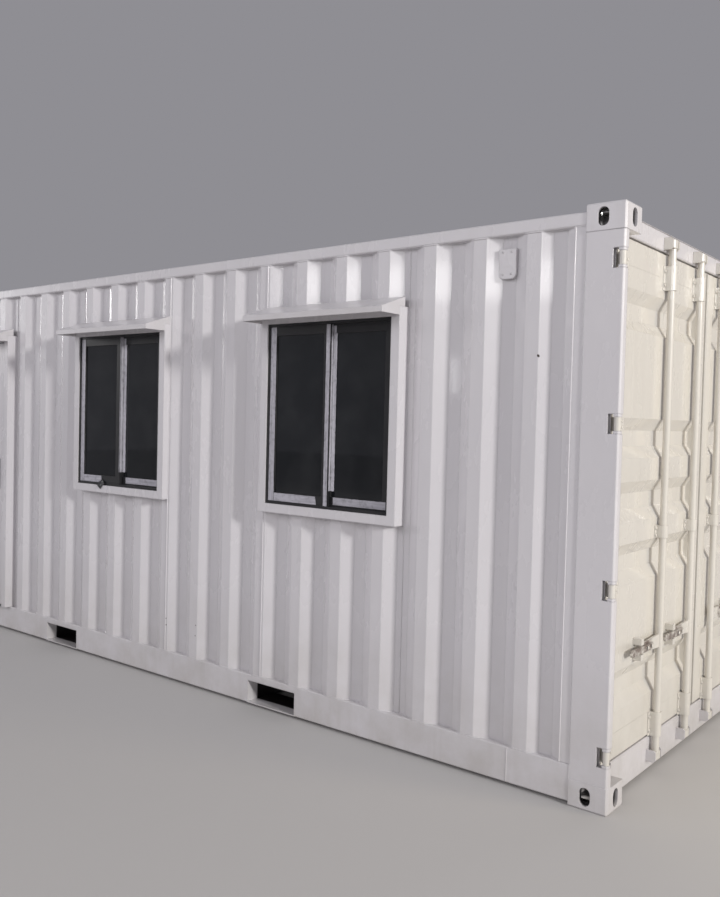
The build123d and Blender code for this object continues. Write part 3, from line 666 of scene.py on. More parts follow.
def casting_enamel_with_shade(settings, group, name, node, bend):
    """Base paint outside, and painted shade behind the openings of the castings: near black deeper than 18 mm from
    the outer faces.
    """
    enamel(settings, group, name, settings.shell, bend, **BASE_WEAR)
    tree, place = painted(name)
    low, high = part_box(node)
    casting = (0.178, 0.162)
    axes = split(tree, place)
    depths = []
    for axis, width in enumerate(casting):
        depth = calc(tree, "SUBTRACT", high[axis], calc(tree, "ABSOLUTE", axes[axis], 0.0))
        depths += [depth, calc(tree, "SUBTRACT", width, depth)]
    depths.append(calc(tree, "SUBTRACT", axes["Z"], low.z))
    depths.append(calc(tree, "SUBTRACT", high.z, axes["Z"]))
    inside = depths[0]
    for depth in depths[1:]:
        inside = calc(tree, "MINIMUM", inside, depth)
    # Painted shade: the paint turns to near black from 8 to 18 mm in from the faces
    sprayed, bare = 0.008, 0.018
    darken(name, ramp(tree, inside, sprayed, bare), PAINTED_SHADE_BLACK)


def darken(name, mask, colour):
    """Lay a dark colour over a paint's own where a mask is 1."""
    tree, _ = painted(name)
    shader = tree.nodes["Principled BSDF"]
    own = shader.inputs["Base Color"].links[0].from_socket
    shade = blend_colour(tree, mask, own, (*colour, 1.0))
    tree.links.new(shade, shader.inputs["Base Color"])


def scar(name, colour, middle, radius):
    """Ragged spot where the paint is knocked off."""
    tree, place = painted(name)
    away = add_node(tree, "ShaderNodeVectorMath", operation="DISTANCE")
    tree.links.new(place, away.inputs[0])
    away.inputs[1].default_value = middle
    ragged = multiply(tree, noise(tree, place, 90.0), radius)
    mask = calc(tree, "LESS_THAN", calc(tree, "ADD", away.outputs["Value"], ragged), 1.4 * radius)
    darken(name, mask, colour)


def joint_grime(name):
    """Dull band where two lengths of the bottom rail are joined."""
    tree, place = painted(name)
    axes = split(tree, place)
    away = calc(tree, "ABSOLUTE", calc(tree, "SUBTRACT", axes["X"], RAIL_JOINT), 0.0)
    on_rail = ramp(tree, axes["Z"], 0.20, 0.19)
    faint = 0.25
    darken(name, multiply(tree, ramp(tree, away, 0.016, 0.004), on_rail, faint), (0.30, 0.27, 0.25))


def pocket_enamel_with_shade(settings, group):
    """Base paint outside and near the mouths, and painted shade: near black deeper inside the pockets."""
    name = "pocket enamel"
    enamel(settings, group, name, settings.shell, settings.bend / 2, **BASE_WEAR)
    tree, place = painted(name)
    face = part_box("fork_pockets")[1].y
    depth = calc(tree, "SUBTRACT", face, calc(tree, "ABSOLUTE", split(tree, place)["Y"], 0.0))
    ragged = multiply(tree, noise(tree, place, 14.0), 0.01)
    # Painted shade: near black from about 80 to 90 mm in from the pockets' faces, with a ragged edge
    sprayed, bare = 0.078, 0.088
    darken(name, ramp(tree, calc(tree, "ADD", depth, ragged), sprayed, bare), PAINTED_SHADE_BLACK)


def handled_enamel(settings, group):
    """Door paint, darkened brown in patches on the outer parts of the handles at the height of the handles."""
    name = "handled enamel"
    # The rods' paint carries the doors' cream tint, which is painted warm light
    enamel(settings, group, name, settings.doors, settings.bend / 2, 0.5, 0.7, 0.12, 0.6)
    tree, place = painted(name)
    axes = split(tree, place)
    handle = JOINTS["lock_left_1_turn"]["pos_m"][2]
    height = calc(tree, "ABSOLUTE", calc(tree, "SUBTRACT", axes["Z"], handle), 0.0)
    rod_spacing, before_rod = 0.41, 0.14
    inward = calc(tree, "SUBTRACT", calc(tree, "ABSOLUTE", axes["Y"], 0.0), before_rod)
    grip = ramp(tree, calc(tree, "MODULO", inward, rod_spacing), 0.14, 0.19)
    patchy = ramp(tree, noise(tree, place, 24.0, 4.0, 0.6), 0.30, 0.55)
    mask = multiply(tree, ramp(tree, height, 0.10, 0.04), patchy, grip, 0.95)
    darken(name, mask, (0.14, 0.10, 0.08))


def plain_finish(group, name, colour, roughness, metallic=0.0, grain=120.0, relief=0.0002, bend=0.0):
    tree, shader, place = new_material(name)
    effect = add_node(tree, "ShaderNodeGroup", node_tree=group)
    tree.links.new(place, effect.inputs["Vector"])
    effect.inputs["Grain"].default_value = grain
    effect.inputs["Roughness"].default_value = roughness
    dulled = tuple(0.6 * c + 0.02 for c in colour)
    shade = blend_colour(tree, effect.outputs["Mask"], (*colour, 1.0), (*dulled, 1.0))
    tree.links.new(shade, shader.inputs["Base Color"])
    tree.links.new(effect.outputs["Roughness"], shader.inputs["Roughness"])
    shader.inputs["Metallic"].default_value = metallic
    bump(tree, shader, effect.outputs["Height"], relief, bend)


def oversprayed_rubber(settings):
    """Door seal that caught the spray, with black rubber in its cracks."""
    tree, shader, place = new_material("oversprayed rubber")
    crack = ramp(tree, noise(tree, place, 24.0, 6.0, 0.7, (1.0, 1.0, 0.3)), 0.56, 0.62)
    # The overspray carries the doors' cream tint, which is painted warm light
    spray = tuple(0.72 * c for c in settings.doors)
    shade = blend_colour(tree, crack, (*spray, 1.0), (0.014, 0.014, 0.014, 1.0))
    tree.links.new(shade, shader.inputs["Base Color"])
    shader.inputs["Roughness"].default_value = 0.55
    bump(tree, shader, crack, -0.0006)


def film_finish(name, colour, along):
    """Thin protective film with drawn-out streaks; along is the axis of its length."""
    tree, shader, place = new_material(name)
    stretch = [1.0, 1.0, 1.0]
    stretch[along] = 0.05
    streak = ramp(tree, noise(tree, place, 95.0, 3.0, 0.6, stretch), 0.42, 0.66)
    cross = ramp(tree, noise(tree, place, 38.0, 4.0, 0.6), 0.5, 0.72)
    dark = multiply(tree, calc(tree, "ADD", streak, cross), 0.42)
    bare = tuple(0.32 * c for c in colour)
    shade = blend_colour(tree, dark, (*colour, 1.0), (*bare, 1.0))
    tree.links.new(shade, shader.inputs["Base Color"])
    shader.inputs["Roughness"].default_value = 0.34
    shader.inputs["Coat Weight"].default_value = 0.4
    bump(tree, shader, noise(tree, place, 140.0, 3.0), 0.0012)


def floor_finish(colour):
    """Sealed plywood: grain along the box, sheet joints across it and worn patches."""
    tree, shader, place = new_material("floor plywood")
    warp = noise(tree, place, 3.0, 3.0)
    grain = noise(tree, place, 60.0, 6.0, 0.65, (0.06, 1.0, 1.0))
    rings = ramp(tree, calc(tree, "ADD", grain, multiply(tree, warp, 0.4)), 0.55, 0.85)
    dark = tuple(0.45 * c for c in colour)
    shade = blend_colour(tree, rings, (*colour, 1.0), (*dark, 1.0))
    worn = ramp(tree, noise(tree, place, 1.7, 5.0, 0.6), 0.45, 0.75)
    shade = blend_colour(tree, multiply(tree, worn, 0.5), shade, (0.30, 0.27, 0.23, 1.0))
    sheet_width, half_gap = 1.22, 0.0015
    across = calc(tree, "PINGPONG", split(tree, place)["X"], sheet_width / 2)
    joint = calc(tree, "LESS_THAN", across, half_gap)
    shade = blend_colour(tree, joint, shade, (0.02, 0.015, 0.01, 1.0))
    tree.links.new(shade, shader.inputs["Base Color"])
    tree.links.new(calc(tree, "ADD", multiply(tree, worn, 0.2), 0.42), shader.inputs["Roughness"])
    bump(tree, shader, calc(tree, "SUBTRACT", grain, joint), 0.0006)


def glass_finish():
    tree, shader, place = new_material("tinted glass")
    smear = noise(tree, place, 5.0, 4.0, 0.6)
    clear, dusty = (0.012, 0.014, 0.017, 1.0), (0.03, 0.032, 0.035, 1.0)
    tint = blend_colour(tree, ramp(tree, smear, 0.4, 0.8), clear, dusty)
    tree.links.new(tint, shader.inputs["Base Color"])
    tree.links.new(multiply(tree, smear, 0.08), shader.inputs["Roughness"])
    shader.inputs["Transmission Weight"].default_value = 0.3
    shader.inputs["IOR"].default_value = 1.5


# Operators


class CABIN_OT_finishes(bpy.types.Operator):
    """Make the finishes and give one to every steel, timber, glass and rubber node"""

    bl_idname = "cabin.finishes"
    bl_label = "Finish the construction"

    def execute(self, context):
        paint = context.scene.cabin_paint
        enamelled = enamel_group()
        grime = grime_group()
        all_over = 12.0
        hood = {"dust": 0.3, "height": all_over, "runs": 0.0, "chips": 0.2}
        roof = {"dust": 0.35, "height": all_over, "runs": 0.0, "chips": 0.4}
        doors = {"dust": 0.5, "height": 0.7, "runs": 0.12, "chips": 0.5}
        beads = {"dust": 0.6, "height": 0.5, "runs": 0.1, "chips": 0.3}
        enamel(paint, enamelled, "wall enamel", paint.shell, paint.bend, runs=0.05)
        enamel(paint, enamelled, "frame enamel", paint.shell, paint.bend, runs=0.05)
        for along, up, radius in CHIPS:
            scar("wall enamel", paint.bare, (along, WALL_CREST, up), radius)
        joint_grime("frame enamel")
        enamel(paint, enamelled, "hood enamel", paint.shell, paint.bend / 2, **hood)
        enamel(paint, enamelled, "base enamel", paint.shell, paint.bend / 2, **BASE_WEAR)
        # Each casting's enamel carries painted shade inside its openings
        for level in ("bottom", "top"):
            casting_enamel_with_shade(
                paint, enamelled, f"{level} casting enamel", f"{level}_castings", paint.bend / 2
            )
        enamel(paint, enamelled, "roof enamel", paint.shell, paint.bend, **roof)
        # The door enamel's cream tint is painted warm light
        enamel(paint, enamelled, "door enamel", paint.doors, paint.bend / 2, **doors)
        handled_enamel(paint, enamelled)
        # The fork pockets' enamel carries painted shade inside
        pocket_enamel_with_shade(paint, enamelled)
        enamel(paint, enamelled, "weld enamel", paint.shell, 0.0, **beads)
        plain_finish(grime, "black aluminium", (0.016, 0.016, 0.018), 0.36, grain=300.0, bend=0.0015)
        plain_finish(grime, "black rubber", (0.014, 0.014, 0.014), 0.62)
        oversprayed_rubber(paint)
        plain_finish(grime, "black sealant", (0.02, 0.02, 0.021), 0.45, grain=60.0, relief=0.0006)
        plain_finish(grime, "satin steel", (0.42, 0.42, 0.43), 0.30, 1.0, grain=200.0, bend=0.001)
        floor_finish((0.33, 0.21, 0.11))
        glass_finish()
        film = context.scene.cabin_film
        film_finish("upright film", film.colour, 2)
        film_finish("level film", film.colour, 0)
        film_finish("torn film", (0.03, 0.03, 0.033), 2)
        for part in FRAME["record"]["subparts"]:
            name = part["node"]
            node = NODES[name]
            node.data.materials.clear()
            node.data.materials.append(bpy.data.materials[self.finish_of(name, part["material_slot"])])
        return {"FINISHED"}

    def finish_of(self, node, slot):
        """Name of the finish that a node of the construction gets."""
        others = {
            "plywood": "floor plywood",
            "black_aluminium": "black aluminium",
            "window_glass": "tinted glass",
            "bare_steel": "satin steel",
            "black_rubber": "oversprayed rubber",
        }
        if slot in others:
            return others[slot]
        if node.endswith("_castings"):
            return node.replace("_castings", " casting enamel")
        if node == "fork_pockets":
            return "pocket enamel"
        if node == "rain_hoods":
            return "hood enamel"
        if node.startswith("lock_rod"):
            return "handled enamel"
        if node in BASE_NODES:
            return "base enamel"
        if node in ROOF_NODES:
            return "roof enamel"
        if node.startswith(("cargo_", "cam_keepers")):
            return "door enamel"
        if node in (*LONG_WALLS, "end_wall"):
            return "wall enamel"
        return "frame enamel"


class CABIN_OT_welds(bpy.types.Operator):
    """Lay the painted weld beads that join walls, window surrounds, posts, rails and roof"""

    bl_idname = "cabin.welds"
    bl_label = "Weld beads"

    def execute(self, context):
        sizes = context.scene.cabin_weld
        self.wall_welds(sizes)
        self.frame_welds(sizes)
        self.roof_welds(sizes)
        self.door_welds(sizes)
        return {"FINISHED"}

    def wall_welds(self, sizes):
        foot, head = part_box("back_wall")[0].z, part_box("back_wall")[1].z
        surround_levels = [
            z
            for node in ("window_wall_lower", "window_wall_upper")
            for z in levels(node, 2)
            if not near(z, foot) and not near(z, head)
        ]

        def on_outline(edge):
            low, high = (corner.co for corner in edge.verts)
            if near(low.z, high.z):
                return between(edge, is_level, looks_out(edge))
            upright = near(low.x, high.x) and near(low.y, high.y)
            return upright and between(edge, is_cut_end, looks_out(edge))

        def at_foot_or_head(edge):
            z = edge.verts[0].co.z
            return on_outline(edge) and near(z, edge.verts[1].co.z) and (near(z, foot) or near(z, head))

        def at_surround(edge):
            low, high = (corner.co for corner in edge.verts)
            level = near(low.z, high.z) and any(near(low.z, z) for z in surround_levels)
            return on_outline(edge) and (level or not near(low.z, high.z))

        walls = (*LONG_WALLS, "end_wall")
        weld("wall_welds", walls, at_foot_or_head, sizes.bead, 5, sizes.ripple)
        weld("surround_welds", LONG_WALLS, at_surround, sizes.bead, 24, sizes.ripple)

    def frame_welds(self, sizes):
        """Beads where posts and rails meet the castings."""
        low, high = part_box("rear_posts")
        foot, head = low.z, high.z
        strip_face = max(y for y in levels("rear_posts", 1) if y < high.y - 0.001)
        box_middle = head / 2
        rail_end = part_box("top_rails")[1].x
        rail_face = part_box("bottom_rail_front")[0].y
        end_face = 3.0

        def round_post(edge):
            low, high = (corner.co for corner in edge.verts)
            if not near(low.z, high.z) or not (near(low.z, foot) or near(low.z, head)):
                return False
            at_end = abs(low.x) > end_face
            return between(edge, is_level, lambda n: n.y * low.y > 0.5 or (at_end and n.x * low.x > 0.5))

        def round_rail(edge):
            low, high = (corner.co for corner in edge.verts)
            if near(low.x, RAIL_JOINT) and near(high.x, RAIL_JOINT):
                return near(low.y, rail_face) and near(high.y, rail_face) and low.z < box_middle
            if not (near(abs(low.x), rail_end) and near(abs(high.x), rail_end)):
                return False
            return between(edge, is_cut_end, lambda n: n.y * low.y > 0.5)

        def up_post(edge):
            low, high = (corner.co for corner in edge.verts)
            if not (near(low.x, high.x) and near(low.y, high.y) and near(abs(low.x), rail_end)):
                return False
            inner = min(abs(normal.x) for normal in (face.normal for face in edge.link_faces))
            return inner < 0.1 and near(abs(low.y), strip_face)

        posts = ("rear_posts", "front_posts")
        rails = ("top_rails", "bottom_rail_front", "bottom_rail_back")
        fine, faint = sizes.fine_bead, sizes.ripple / 3
        weld("post_welds", posts, round_post, fine, 12, faint)
        weld("strip_welds", posts, up_post, 0.8 * sizes.bead, 240, 1.4 * sizes.ripple)
        weld("rail_welds", rails, round_rail, fine, 12, faint, joint=RAIL_JOINT)

    def roof_welds(self, sizes):
        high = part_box("roof")[1]

        def on_rim(edge):
            return all(
                near(corner.co.z, high.z)
                and (near(abs(corner.co.x), high.x) or near(abs(corner.co.y), high.y))
                for corner in edge.verts
            ) and between(edge, is_level, lambda normal: abs(normal.z) < 0.1)

        weld("roof_welds", ("roof",), on_rim, sizes.bead, 200, sizes.ripple, "roof enamel")

    def door_welds(self, sizes):
        """Beads where the grooved panel of each cargo leaf meets its stiles."""

        def at_stile(edge):
            return between(edge, lambda n: abs(n.y) > 0.999, lambda n: n.x > 0.05)

        for name, _ in LEAVES:
            weld(
                f"{name}_leaf_welds",
                (f"cargo_{name}_panel",),
                at_stile,
                sizes.fine_bead,
                10,
                sizes.ripple / 2,
                "door enamel",
                f"cargo_{name}_leaf",
            )


class CABIN_OT_seals(bpy.types.Operator):
    """Run the black sealant round the window frames and the rubber round the glass"""

    bl_idname = "cabin.seals"
    bl_label = "Window seals"

    def execute(self, context):
        sizes = context.scene.cabin_weld
        low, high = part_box("window_frames")
        front = low.y
        sides = (low.z, high.z)
        ends = levels("window_frames", 0)
        ends = [ends[0], ends[len(ends) // 2 - 1], ends[len(ends) // 2], ends[-1]]

        def round_frame(edge):
            low, high = (corner.co for corner in edge.verts)
            if not (near(low.y, front) and near(high.y, front)):
                return False
            upright = near(low.x, high.x) and any(near(low.x, x) for x in ends)
            level = near(low.z, high.z) and any(near(low.z, z) for z in sides)
            return upright or level

        bead = seam("window_sealant", ("window_frames",), round_frame, sizes.sealant, 60, sizes.ripple)
        deliver(bead, "cabin", "black sealant", BEAD_SMOOTH)

        def round_glass(edge):
            return between(edge, lambda n: n.y < -0.9, lambda n: abs(n.y) < 0.1)

        bead = seam("glazing_rubber", ("window_glass",), round_glass, sizes.sealant, 20, 0.0)
        deliver(bead, "cabin", "black rubber", BEAD_SMOOTH)
        return {"FINISHED"}


class CABIN_OT_film(bpy.types.Operator):
    """Stick the strips of protective film on the sashes, with their wrinkles and torn ends"""

    bl_idname = "cabin.film"
    bl_label = "Window film"

    def execute(self, context):
        self.sizes = context.scene.cabin_film
        across = levels("window_sashes", 0)
        up = levels("window_sashes", 2)
        front, front_back, back = levels("window_sashes", 1)[:3]
        glass = levels("window_glass", 1)[2]
        per_window = len(across) // 2
        # How far the strips keep from the corners of the sashes, or reach past them
        edge, lap = 0.002, 0.021
        foot = up[1] + 0.032
        for number, name in enumerate(("far", "near")):
            left, left_in, seam_left, seam_right, _, right = across[
                number * per_window : (number + 1) * per_window
            ]
            if name == "near":
                meeting = (seam_left + 0.016, seam_right - edge, up[0])
                wrapped, left_end, right_start = 0.013, seam_left - 0.032, seam_right + lap
            else:
                meeting = (seam_right - 0.005, seam_right, foot)
                wrapped, left_end, right_start = 0.019, seam_left - 0.143, seam_right + 0.037
            strips = [
                self.strip("left_stile", left + edge, left_in - edge, up[0] + edge, up[3] - edge, front),
                self.strip("meeting", *meeting, up[3] - edge, front),
                self.side_strip(seam_right, front_back - wrapped, front_back, foot, up[3] - edge),
                self.lap(seam_right, seam_right + lap, foot, up[2], back, glass),
                self.strip("back_stile", seam_right, seam_right + lap, up[2], up[3] - edge, back),
            ]
            self.combine(f"{name}_window_upright_film", strips, "upright film")
            strips = [
                self.strip("left_rail", left_in, left_end, up[0] + edge, up[1] - edge, front, cut=10.0),
                self.strip("right_rail", right_start, right - edge, up[0] + edge, up[1], back),
            ]
            self.combine(f"{name}_window_level_film", strips, "level film")
        beside_seam, below_sash = 0.138, 0.008
        self.flap(across[2] - beside_seam, up[0] - below_sash)
        return {"FINISHED"}

    def strip(self, name, left, right, low, high, face, cut=0.0):
        """Flat strip facing -Y on a sash, ragged at its rim; cut slants its right end."""
        width, height = right - left, high - low
        piece = add_primitive(
            name,
            bpy.ops.mesh.primitive_plane_add,
            size=1.0,
            location=((left + right) / 2, face - self.sizes.lift, (low + high) / 2),
            rotation=TOWARDS_FRONT,
        )
        bpy.ops.object.transform_apply(location=True, rotation=True, scale=True)
        with editing(piece, "EDGE"):
            bpy.ops.transform.resize(value=(width, 1.0, height))
            spacing = 0.012
            for axis, length in ((0, width), (2, height)):
                pick(piece, "edges", lambda e: self.runs_along(e, axis))
                bpy.ops.mesh.subdivide(number_cuts=max(2, int(length / spacing)))
            pick(piece, "edges", lambda e: e.is_boundary)
            bpy.ops.transform.vertex_random(offset=0.0012, uniform=0.0, normal=0.0, seed=len(name))
            bpy.ops.mesh.select_all(action="SELECT")
            bpy.ops.transform.resize(value=(1.0, 0.0, 1.0))
            if cut:
                angle = math.radians(cut)
                bpy.ops.mesh.bisect(
                    plane_co=(right - height / 2 * math.tan(angle), face, (low + high) / 2),
                    plane_no=(math.cos(angle), 0.0, math.sin(angle)),
                    clear_outer=True,
                )
        roughen(piece, -self.sizes.wrinkle, 0.02, middle=0.0, direction="Y")
        apply_modifier(piece, "SOLIDIFY", thickness=0.0003, offset=0.0)
        return piece

    def side_strip(self, side, front, back, low, high):
        """Strip folded round the right side of the front sash's stile."""
        half, middle = (back - front) / 2, (front + back) / 2
        piece = self.strip("side", side - half, side + half, low, high, middle)
        self.turn(piece, math.pi / 2, (side, middle, low))
        return piece

    def lap(self, left, right, low, high, face, glass):
        """Strip that runs down from the edge of the back sash's stile to its glass."""
        middle = (face + glass) / 2
        piece = self.strip("lap", left, right, low, high, middle)
        self.turn(piece, math.atan2(glass - face, right - left), ((left + right) / 2, middle, low))
        return piece

    def turn(self, piece, angle, pivot):
        """Turn a strip about the upright line through a point."""
        with editing(piece):
            bpy.ops.transform.rotate(value=-angle, orient_axis="Z", center_override=pivot)

    def runs_along(self, edge, axis):
        span = edge.verts[0].co - edge.verts[1].co
        return abs(span[axis]) > 0.9 * span.length

    def combine(self, name, strips, material):
        select_only(*strips)
        bpy.ops.object.join()
        strips[0].name = strips[0].data.name = name
        deliver(strips[0], "cabin", material, FILM_SMOOTH)

    def flap(self, x, z):
        """Torn corner of film that hangs over the sill of the far window."""
        size, tilt, off_sill = 0.05, math.radians(40.0), 0.0025
        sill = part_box("window_surrounds")[0].y - off_sill
        piece = add_primitive(
            "torn_film_flap",
            bpy.ops.mesh.primitive_grid_add,
            x_subdivisions=10,
            y_subdivisions=10,
            size=size,
            location=(x, sill, z),
            rotation=(math.pi / 2, tilt, 0.0),
        )
        bpy.ops.object.transform_apply(location=True, rotation=True, scale=True)
        with editing(piece):
            bpy.ops.transform.resize(value=(1.1, 1.0, 0.95))
            bpy.ops.transform.vertex_random(offset=0.0022, uniform=0.0, normal=0.0, seed=4)
            for height in (0.002, 0.010, 0.018):
                pick(piece, "faces", lambda f: f.calc_center_median().z > z + height)
                bpy.ops.transform.translate(value=(0.0, 0.0045, 0.0))
        roughen(piece, -0.004, 0.02, middle=0.0, direction="Y")
        apply_modifier(piece, "SOLIDIFY", thickness=0.0004, offset=0.0)
        deliver(piece, "cabin", "torn film", FILM_SMOOTH)


class CABIN_OT_door_fixings(bpy.types.Operator):
    """Fix the rod guides, hinge blades and handles of the cargo doors"""

    bl_idname = "cabin.door_fixings"
    bl_label = "Cargo door fixings"

    def execute(self, context):
        sizes = context.scene.cabin_fixings
        bolt = bolt_head("guide_bolt", sizes.bolt, 0.006)
        rivet = rivet_head("blade_rivet", sizes.rivet, 0.004)
        from_rod = (0.14, 0.19)
        for name, side in LEAVES:
            leaf = f"cargo_{name}_leaf"
            rods = [JOINTS[f"lock_{name}_{number}_turn"]["pos_m"][1] for number in (1, 2)]
            for label, master, places in (
                ("guide_bolts", bolt, self.guide_places(name, rods)),
                ("blade_rivets", rivet, self.blade_places(name, side)),
            ):
                fixings = repeat(f"{name}_{label}", master, places, TOWARDS_DOOR_END)
                deliver(fixings, leaf, "door enamel")
            for number, rod in enumerate(rods, 1):
                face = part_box(f"lock_rod_{name}_{number}")[1].x
                level = JOINTS[f"lock_{name}_{number}_turn"]["pos_m"][2]
                places = [(face, rod + side * reach, level) for reach in from_rod]
                pivot = repeat(f"{name}_handle_pivot_{number}", rivet, places, TOWARDS_DOOR_END)
                deliver(pivot, f"lock_{name}_{number}", "door enamel")
        discard(bolt)
        discard(rivet)
        return {"FINISHED"}

    def guide_places(self, name, rods):
        """Two bolts on each foot, left and right of the rod, of every guide."""
        node = f"cargo_{name}_rod_guides"
        thickness, reach = 0.004, 0.034
        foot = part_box(node)[0].x + thickness
        spans = levels(node, 2)
        guides = [(spans[0], spans[1]), (spans[-4], spans[-3]), (spans[-2], spans[-1])]
        places = []
        for rod in rods:
            for low, high in guides:
                for share in (0.22, 0.78):
                    z = low + share * (high - low)
                    places += [(foot, rod - reach, z), (foot, rod + reach, z)]
        return places

    def blade_places(self, name, side):
        """Four rivets, in two columns, on each blade."""
        node = f"cargo_{name}_hinge_blades"
        low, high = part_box(node)
        heights = levels(node, 2)
        inner = low.y if side > 0 else high.y
        thickness = 0.010
        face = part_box(f"cargo_{name}_frame")[1].x + thickness
        places = []
        for bottom, top in zip(heights[0::2], heights[1::2]):
            for share in (0.27, 0.73):
                for inset in (0.018, 0.056):
                    places.append((face, inner + side * inset, bottom + share * (top - bottom)))
        return places


class CABIN_OT_entry_fixings(bpy.types.Operator):
    """Add the lock cylinder and the screws of the entry door's fittings"""

    bl_idname = "cabin.entry_fixings"
    bl_label = "Entry door fixings"

    def execute(self, context):
        sizes = context.scene.cabin_fixings
        screw = slotted_head("fitting_screw", sizes.screw, 0.0022)
        low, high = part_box("entry_handle")
        half_width, thickness, from_end, lock_below = 0.020, 0.008, 0.015, 0.072
        middle = (low.z + high.z) / 2
        plate_middle = high.x - half_width
        plate_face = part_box("entry_leaf")[0].y - thickness
        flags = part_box("entry_hinge_knuckles")
        flag_levels = levels("entry_hinge_knuckles", 2)
        places = [(plate_middle, plate_face, z) for z in (low.z + from_end, high.z - from_end)]
        for bottom, top in zip(flag_levels[0::2], flag_levels[1::2]):
            for share in (0.25, 0.75):
                places.append((flags[1].x - from_end, flags[0].y, bottom + share * (top - bottom)))
        screws = repeat("entry_screws", screw, places, TOWARDS_FRONT)
        deliver(screws, "entry_door", "satin steel")
        discard(screw)
        lock = self.lock_cylinder(plate_middle, plate_face, middle - lock_below)
        deliver(lock, "entry_door", "satin steel")
        return {"FINISHED"}

    def lock_cylinder(self, x, face, z):
        """Round lock with a raised rim and a key slot."""
        radius = 0.0085
        rim, step, slot = 0.003, 0.002, 0.003
        piece = disc("entry_lock", 24, 1.5 * radius)
        with editing(piece):
            draw_up(rim, 0.92)
            bpy.ops.mesh.inset(thickness=0.35 * radius, depth=0.0)
            draw_up(step)
            bpy.ops.mesh.inset(thickness=0.30 * radius, depth=0.0)
            bpy.ops.transform.resize(value=(0.18, 1.0, 1.0))
            draw_up(-slot)
        piece.location = (x, face, z)
        piece.rotation_euler = TOWARDS_FRONT
        return piece


class CABIN_OT_vent_fixings(bpy.types.Operator):
    """Rivet the covers of the ventilators"""

    bl_idname = "cabin.vent_fixings"
    bl_label = "Ventilator rivets"

    def execute(self, context):
        sizes = context.scene.cabin_fixings
        rivet = rivet_head("cover_rivet", 0.6 * sizes.rivet, 0.0025)
        low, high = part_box("ventilators")
        from_foot, from_head, half_width, inset = 0.022, 0.014, 0.043, 0.022
        heights = (low.z + from_foot, high.z - from_head)
        centres = (high.x - half_width, low.x + half_width)
        covers = []
        for centre, face, facing in zip(centres, (low.y, high.y), (TOWARDS_FRONT, TOWARDS_BACK)):
            places = [(centre + offset, face, z) for z in heights for offset in (-inset, inset)]
            covers.append(repeat("cover_rivets", rivet, places, facing))
        select_only(*covers)
        bpy.ops.object.join()
        covers[0].name = covers[0].data.name = "ventilator_rivets"
        deliver(covers[0], "cabin", "frame enamel")
        discard(rivet)
        return {"FINISHED"}


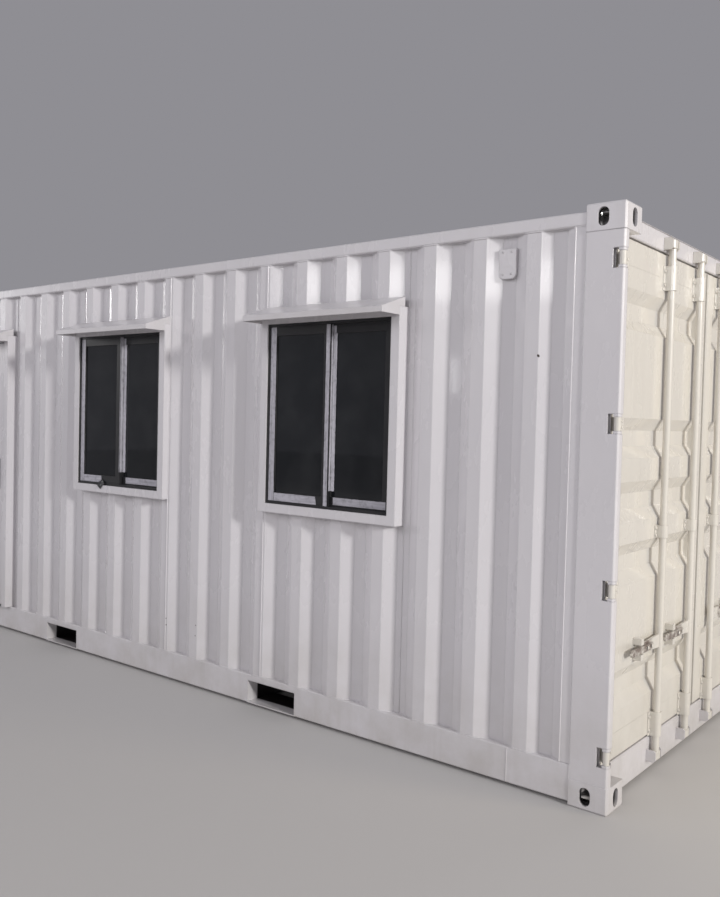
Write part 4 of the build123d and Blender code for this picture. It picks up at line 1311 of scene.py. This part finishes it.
class CABIN_OT_stage(bpy.types.Operator):
    """Set the pale floor, the soft lights and the camera"""

    bl_idname = "cabin.stage"
    bl_label = "Stage"

    def execute(self, context):
        settings = context.scene.cabin_stage
        floor = add_primitive("studio_floor", bpy.ops.mesh.primitive_plane_add, size=settings.floor_size)
        _, shader, _ = new_material("pale floor")
        shader.inputs["Base Color"].default_value = (0.55, 0.54, 0.53, 1.0)
        shader.inputs["Roughness"].default_value = 0.9
        floor.data.materials.append(bpy.data.materials["pale floor"])
        self.lights(context)
        self.camera(context, settings)
        return {"FINISHED"}

    def lights(self, context):
        world = bpy.data.worlds.new("studio")
        context.scene.world = world
        world.use_nodes = True
        sky = world.node_tree.nodes["Background"]
        sky.inputs["Color"].default_value = (0.61, 0.60, 0.65, 1.0)
        sky.inputs["Strength"].default_value = 0.45
        context.scene.view_settings.view_transform = "Standard"
        target = Vector((1.0, 0.0, 1.2))
        warm_white = (1.0, 0.99, 0.98)
        cool_white = (0.98, 0.96, 1.0)
        # Name, place, width and height, watts, colour, and whether gloss mirrors it
        lamps = (
            ("side_key", (22.0, -5.0, 6.5), (1.8, 1.8), 2700.0, (1.0, 0.985, 0.96), True),
            ("warm_key", (9.5, 1.0, 4.5), (2.0, 2.0), 110.0, (1.0, 0.84, 0.60), True),
            ("front_fill", (-3.0, -13.0, 7.0), (18.0, 5.0), 530.0, cool_white, False),
            ("back_fill", (0.0, 14.0, 8.0), (18.0, 5.0), 450.0, cool_white, False),
            ("streak_strip", (6.5, -13.0, 4.3), (6.0, 0.7), 120.0, warm_white, True),
            ("front_glint", (-5.1, -12.5, 2.6), (0.05, 0.7), 3.0, warm_white, True),
            ("left_glint", (-16.0, -7.0, 4.2), (0.4, 2.2), 190.0, warm_white, True),
        )
        for name, place, (wide, tall), power, colour, mirrored in lamps:
            lamp = bpy.data.lights.new(name, "AREA")
            lamp.shape = "RECTANGLE"
            lamp.size = wide
            lamp.size_y = tall
            lamp.energy = power
            lamp.color = colour
            holder = bpy.data.objects.new(name, lamp)
            context.scene.collection.objects.link(holder)
            holder.visible_glossy = mirrored
            aim = (target - Vector(place)).to_track_quat("-Z", "Y")
            holder.matrix_world = Matrix.Translation(place) @ aim.to_matrix().to_4x4()

    def camera(self, context, settings):
        lens = bpy.data.cameras.new("camera")
        lens.lens = settings.lens
        lens.sensor_width = 36.0
        lens.clip_end = 200.0
        holder = bpy.data.objects.new("camera", lens)
        context.scene.collection.objects.link(holder)
        heading, below_level, roll = 38.632, 1.819, 1.422
        place = Matrix.Translation((4.4904, -4.7728, 1.6494))
        for angle, axis in ((heading, "Z"), (90.0 - below_level, "X"), (roll, "Z")):
            place = place @ Matrix.Rotation(math.radians(angle), 4, axis)
        holder.matrix_world = place
        context.scene.camera = holder


class CABIN_PT_panel(bpy.types.Panel):
    """Sidebar panel that lists the cabin's settings and steps"""

    bl_label = "Cabin"
    bl_idname = "CABIN_PT_panel"
    bl_space_type = "VIEW_3D"
    bl_region_type = "UI"
    bl_category = "Cabin"

    def draw(self, context):
        for attribute in SETTINGS:
            settings = getattr(context.scene, attribute)
            for key in settings.__annotations__:
                self.layout.prop(settings, key)
        for operator in OPERATORS:
            self.layout.operator(operator.bl_idname)


SETTINGS = {
    "cabin_paint": CabinPaintSettings,
    "cabin_weld": CabinWeldSettings,
    "cabin_film": CabinFilmSettings,
    "cabin_fixings": CabinFixingSettings,
    "cabin_stage": CabinStageSettings,
}
OPERATORS = (
    CABIN_OT_finishes,
    CABIN_OT_welds,
    CABIN_OT_seals,
    CABIN_OT_film,
    CABIN_OT_door_fixings,
    CABIN_OT_entry_fixings,
    CABIN_OT_vent_fixings,
    CABIN_OT_stage,
)
CLASSES = (*SETTINGS.values(), *OPERATORS, CABIN_PT_panel)


def register():
    for item in CLASSES:
        bpy.utils.register_class(item)
    for attribute, settings in SETTINGS.items():
        setattr(bpy.types.Scene, attribute, PointerProperty(type=settings))


def unregister():
    for attribute in SETTINGS:
        delattr(bpy.types.Scene, attribute)
    for item in reversed(CLASSES):
        bpy.utils.unregister_class(item)


def main():
    register()
    for operator in OPERATORS:
        group, name = operator.bl_idname.split(".")
        getattr(getattr(bpy.ops, group), name)()


if __name__ == "__main__":
    main()
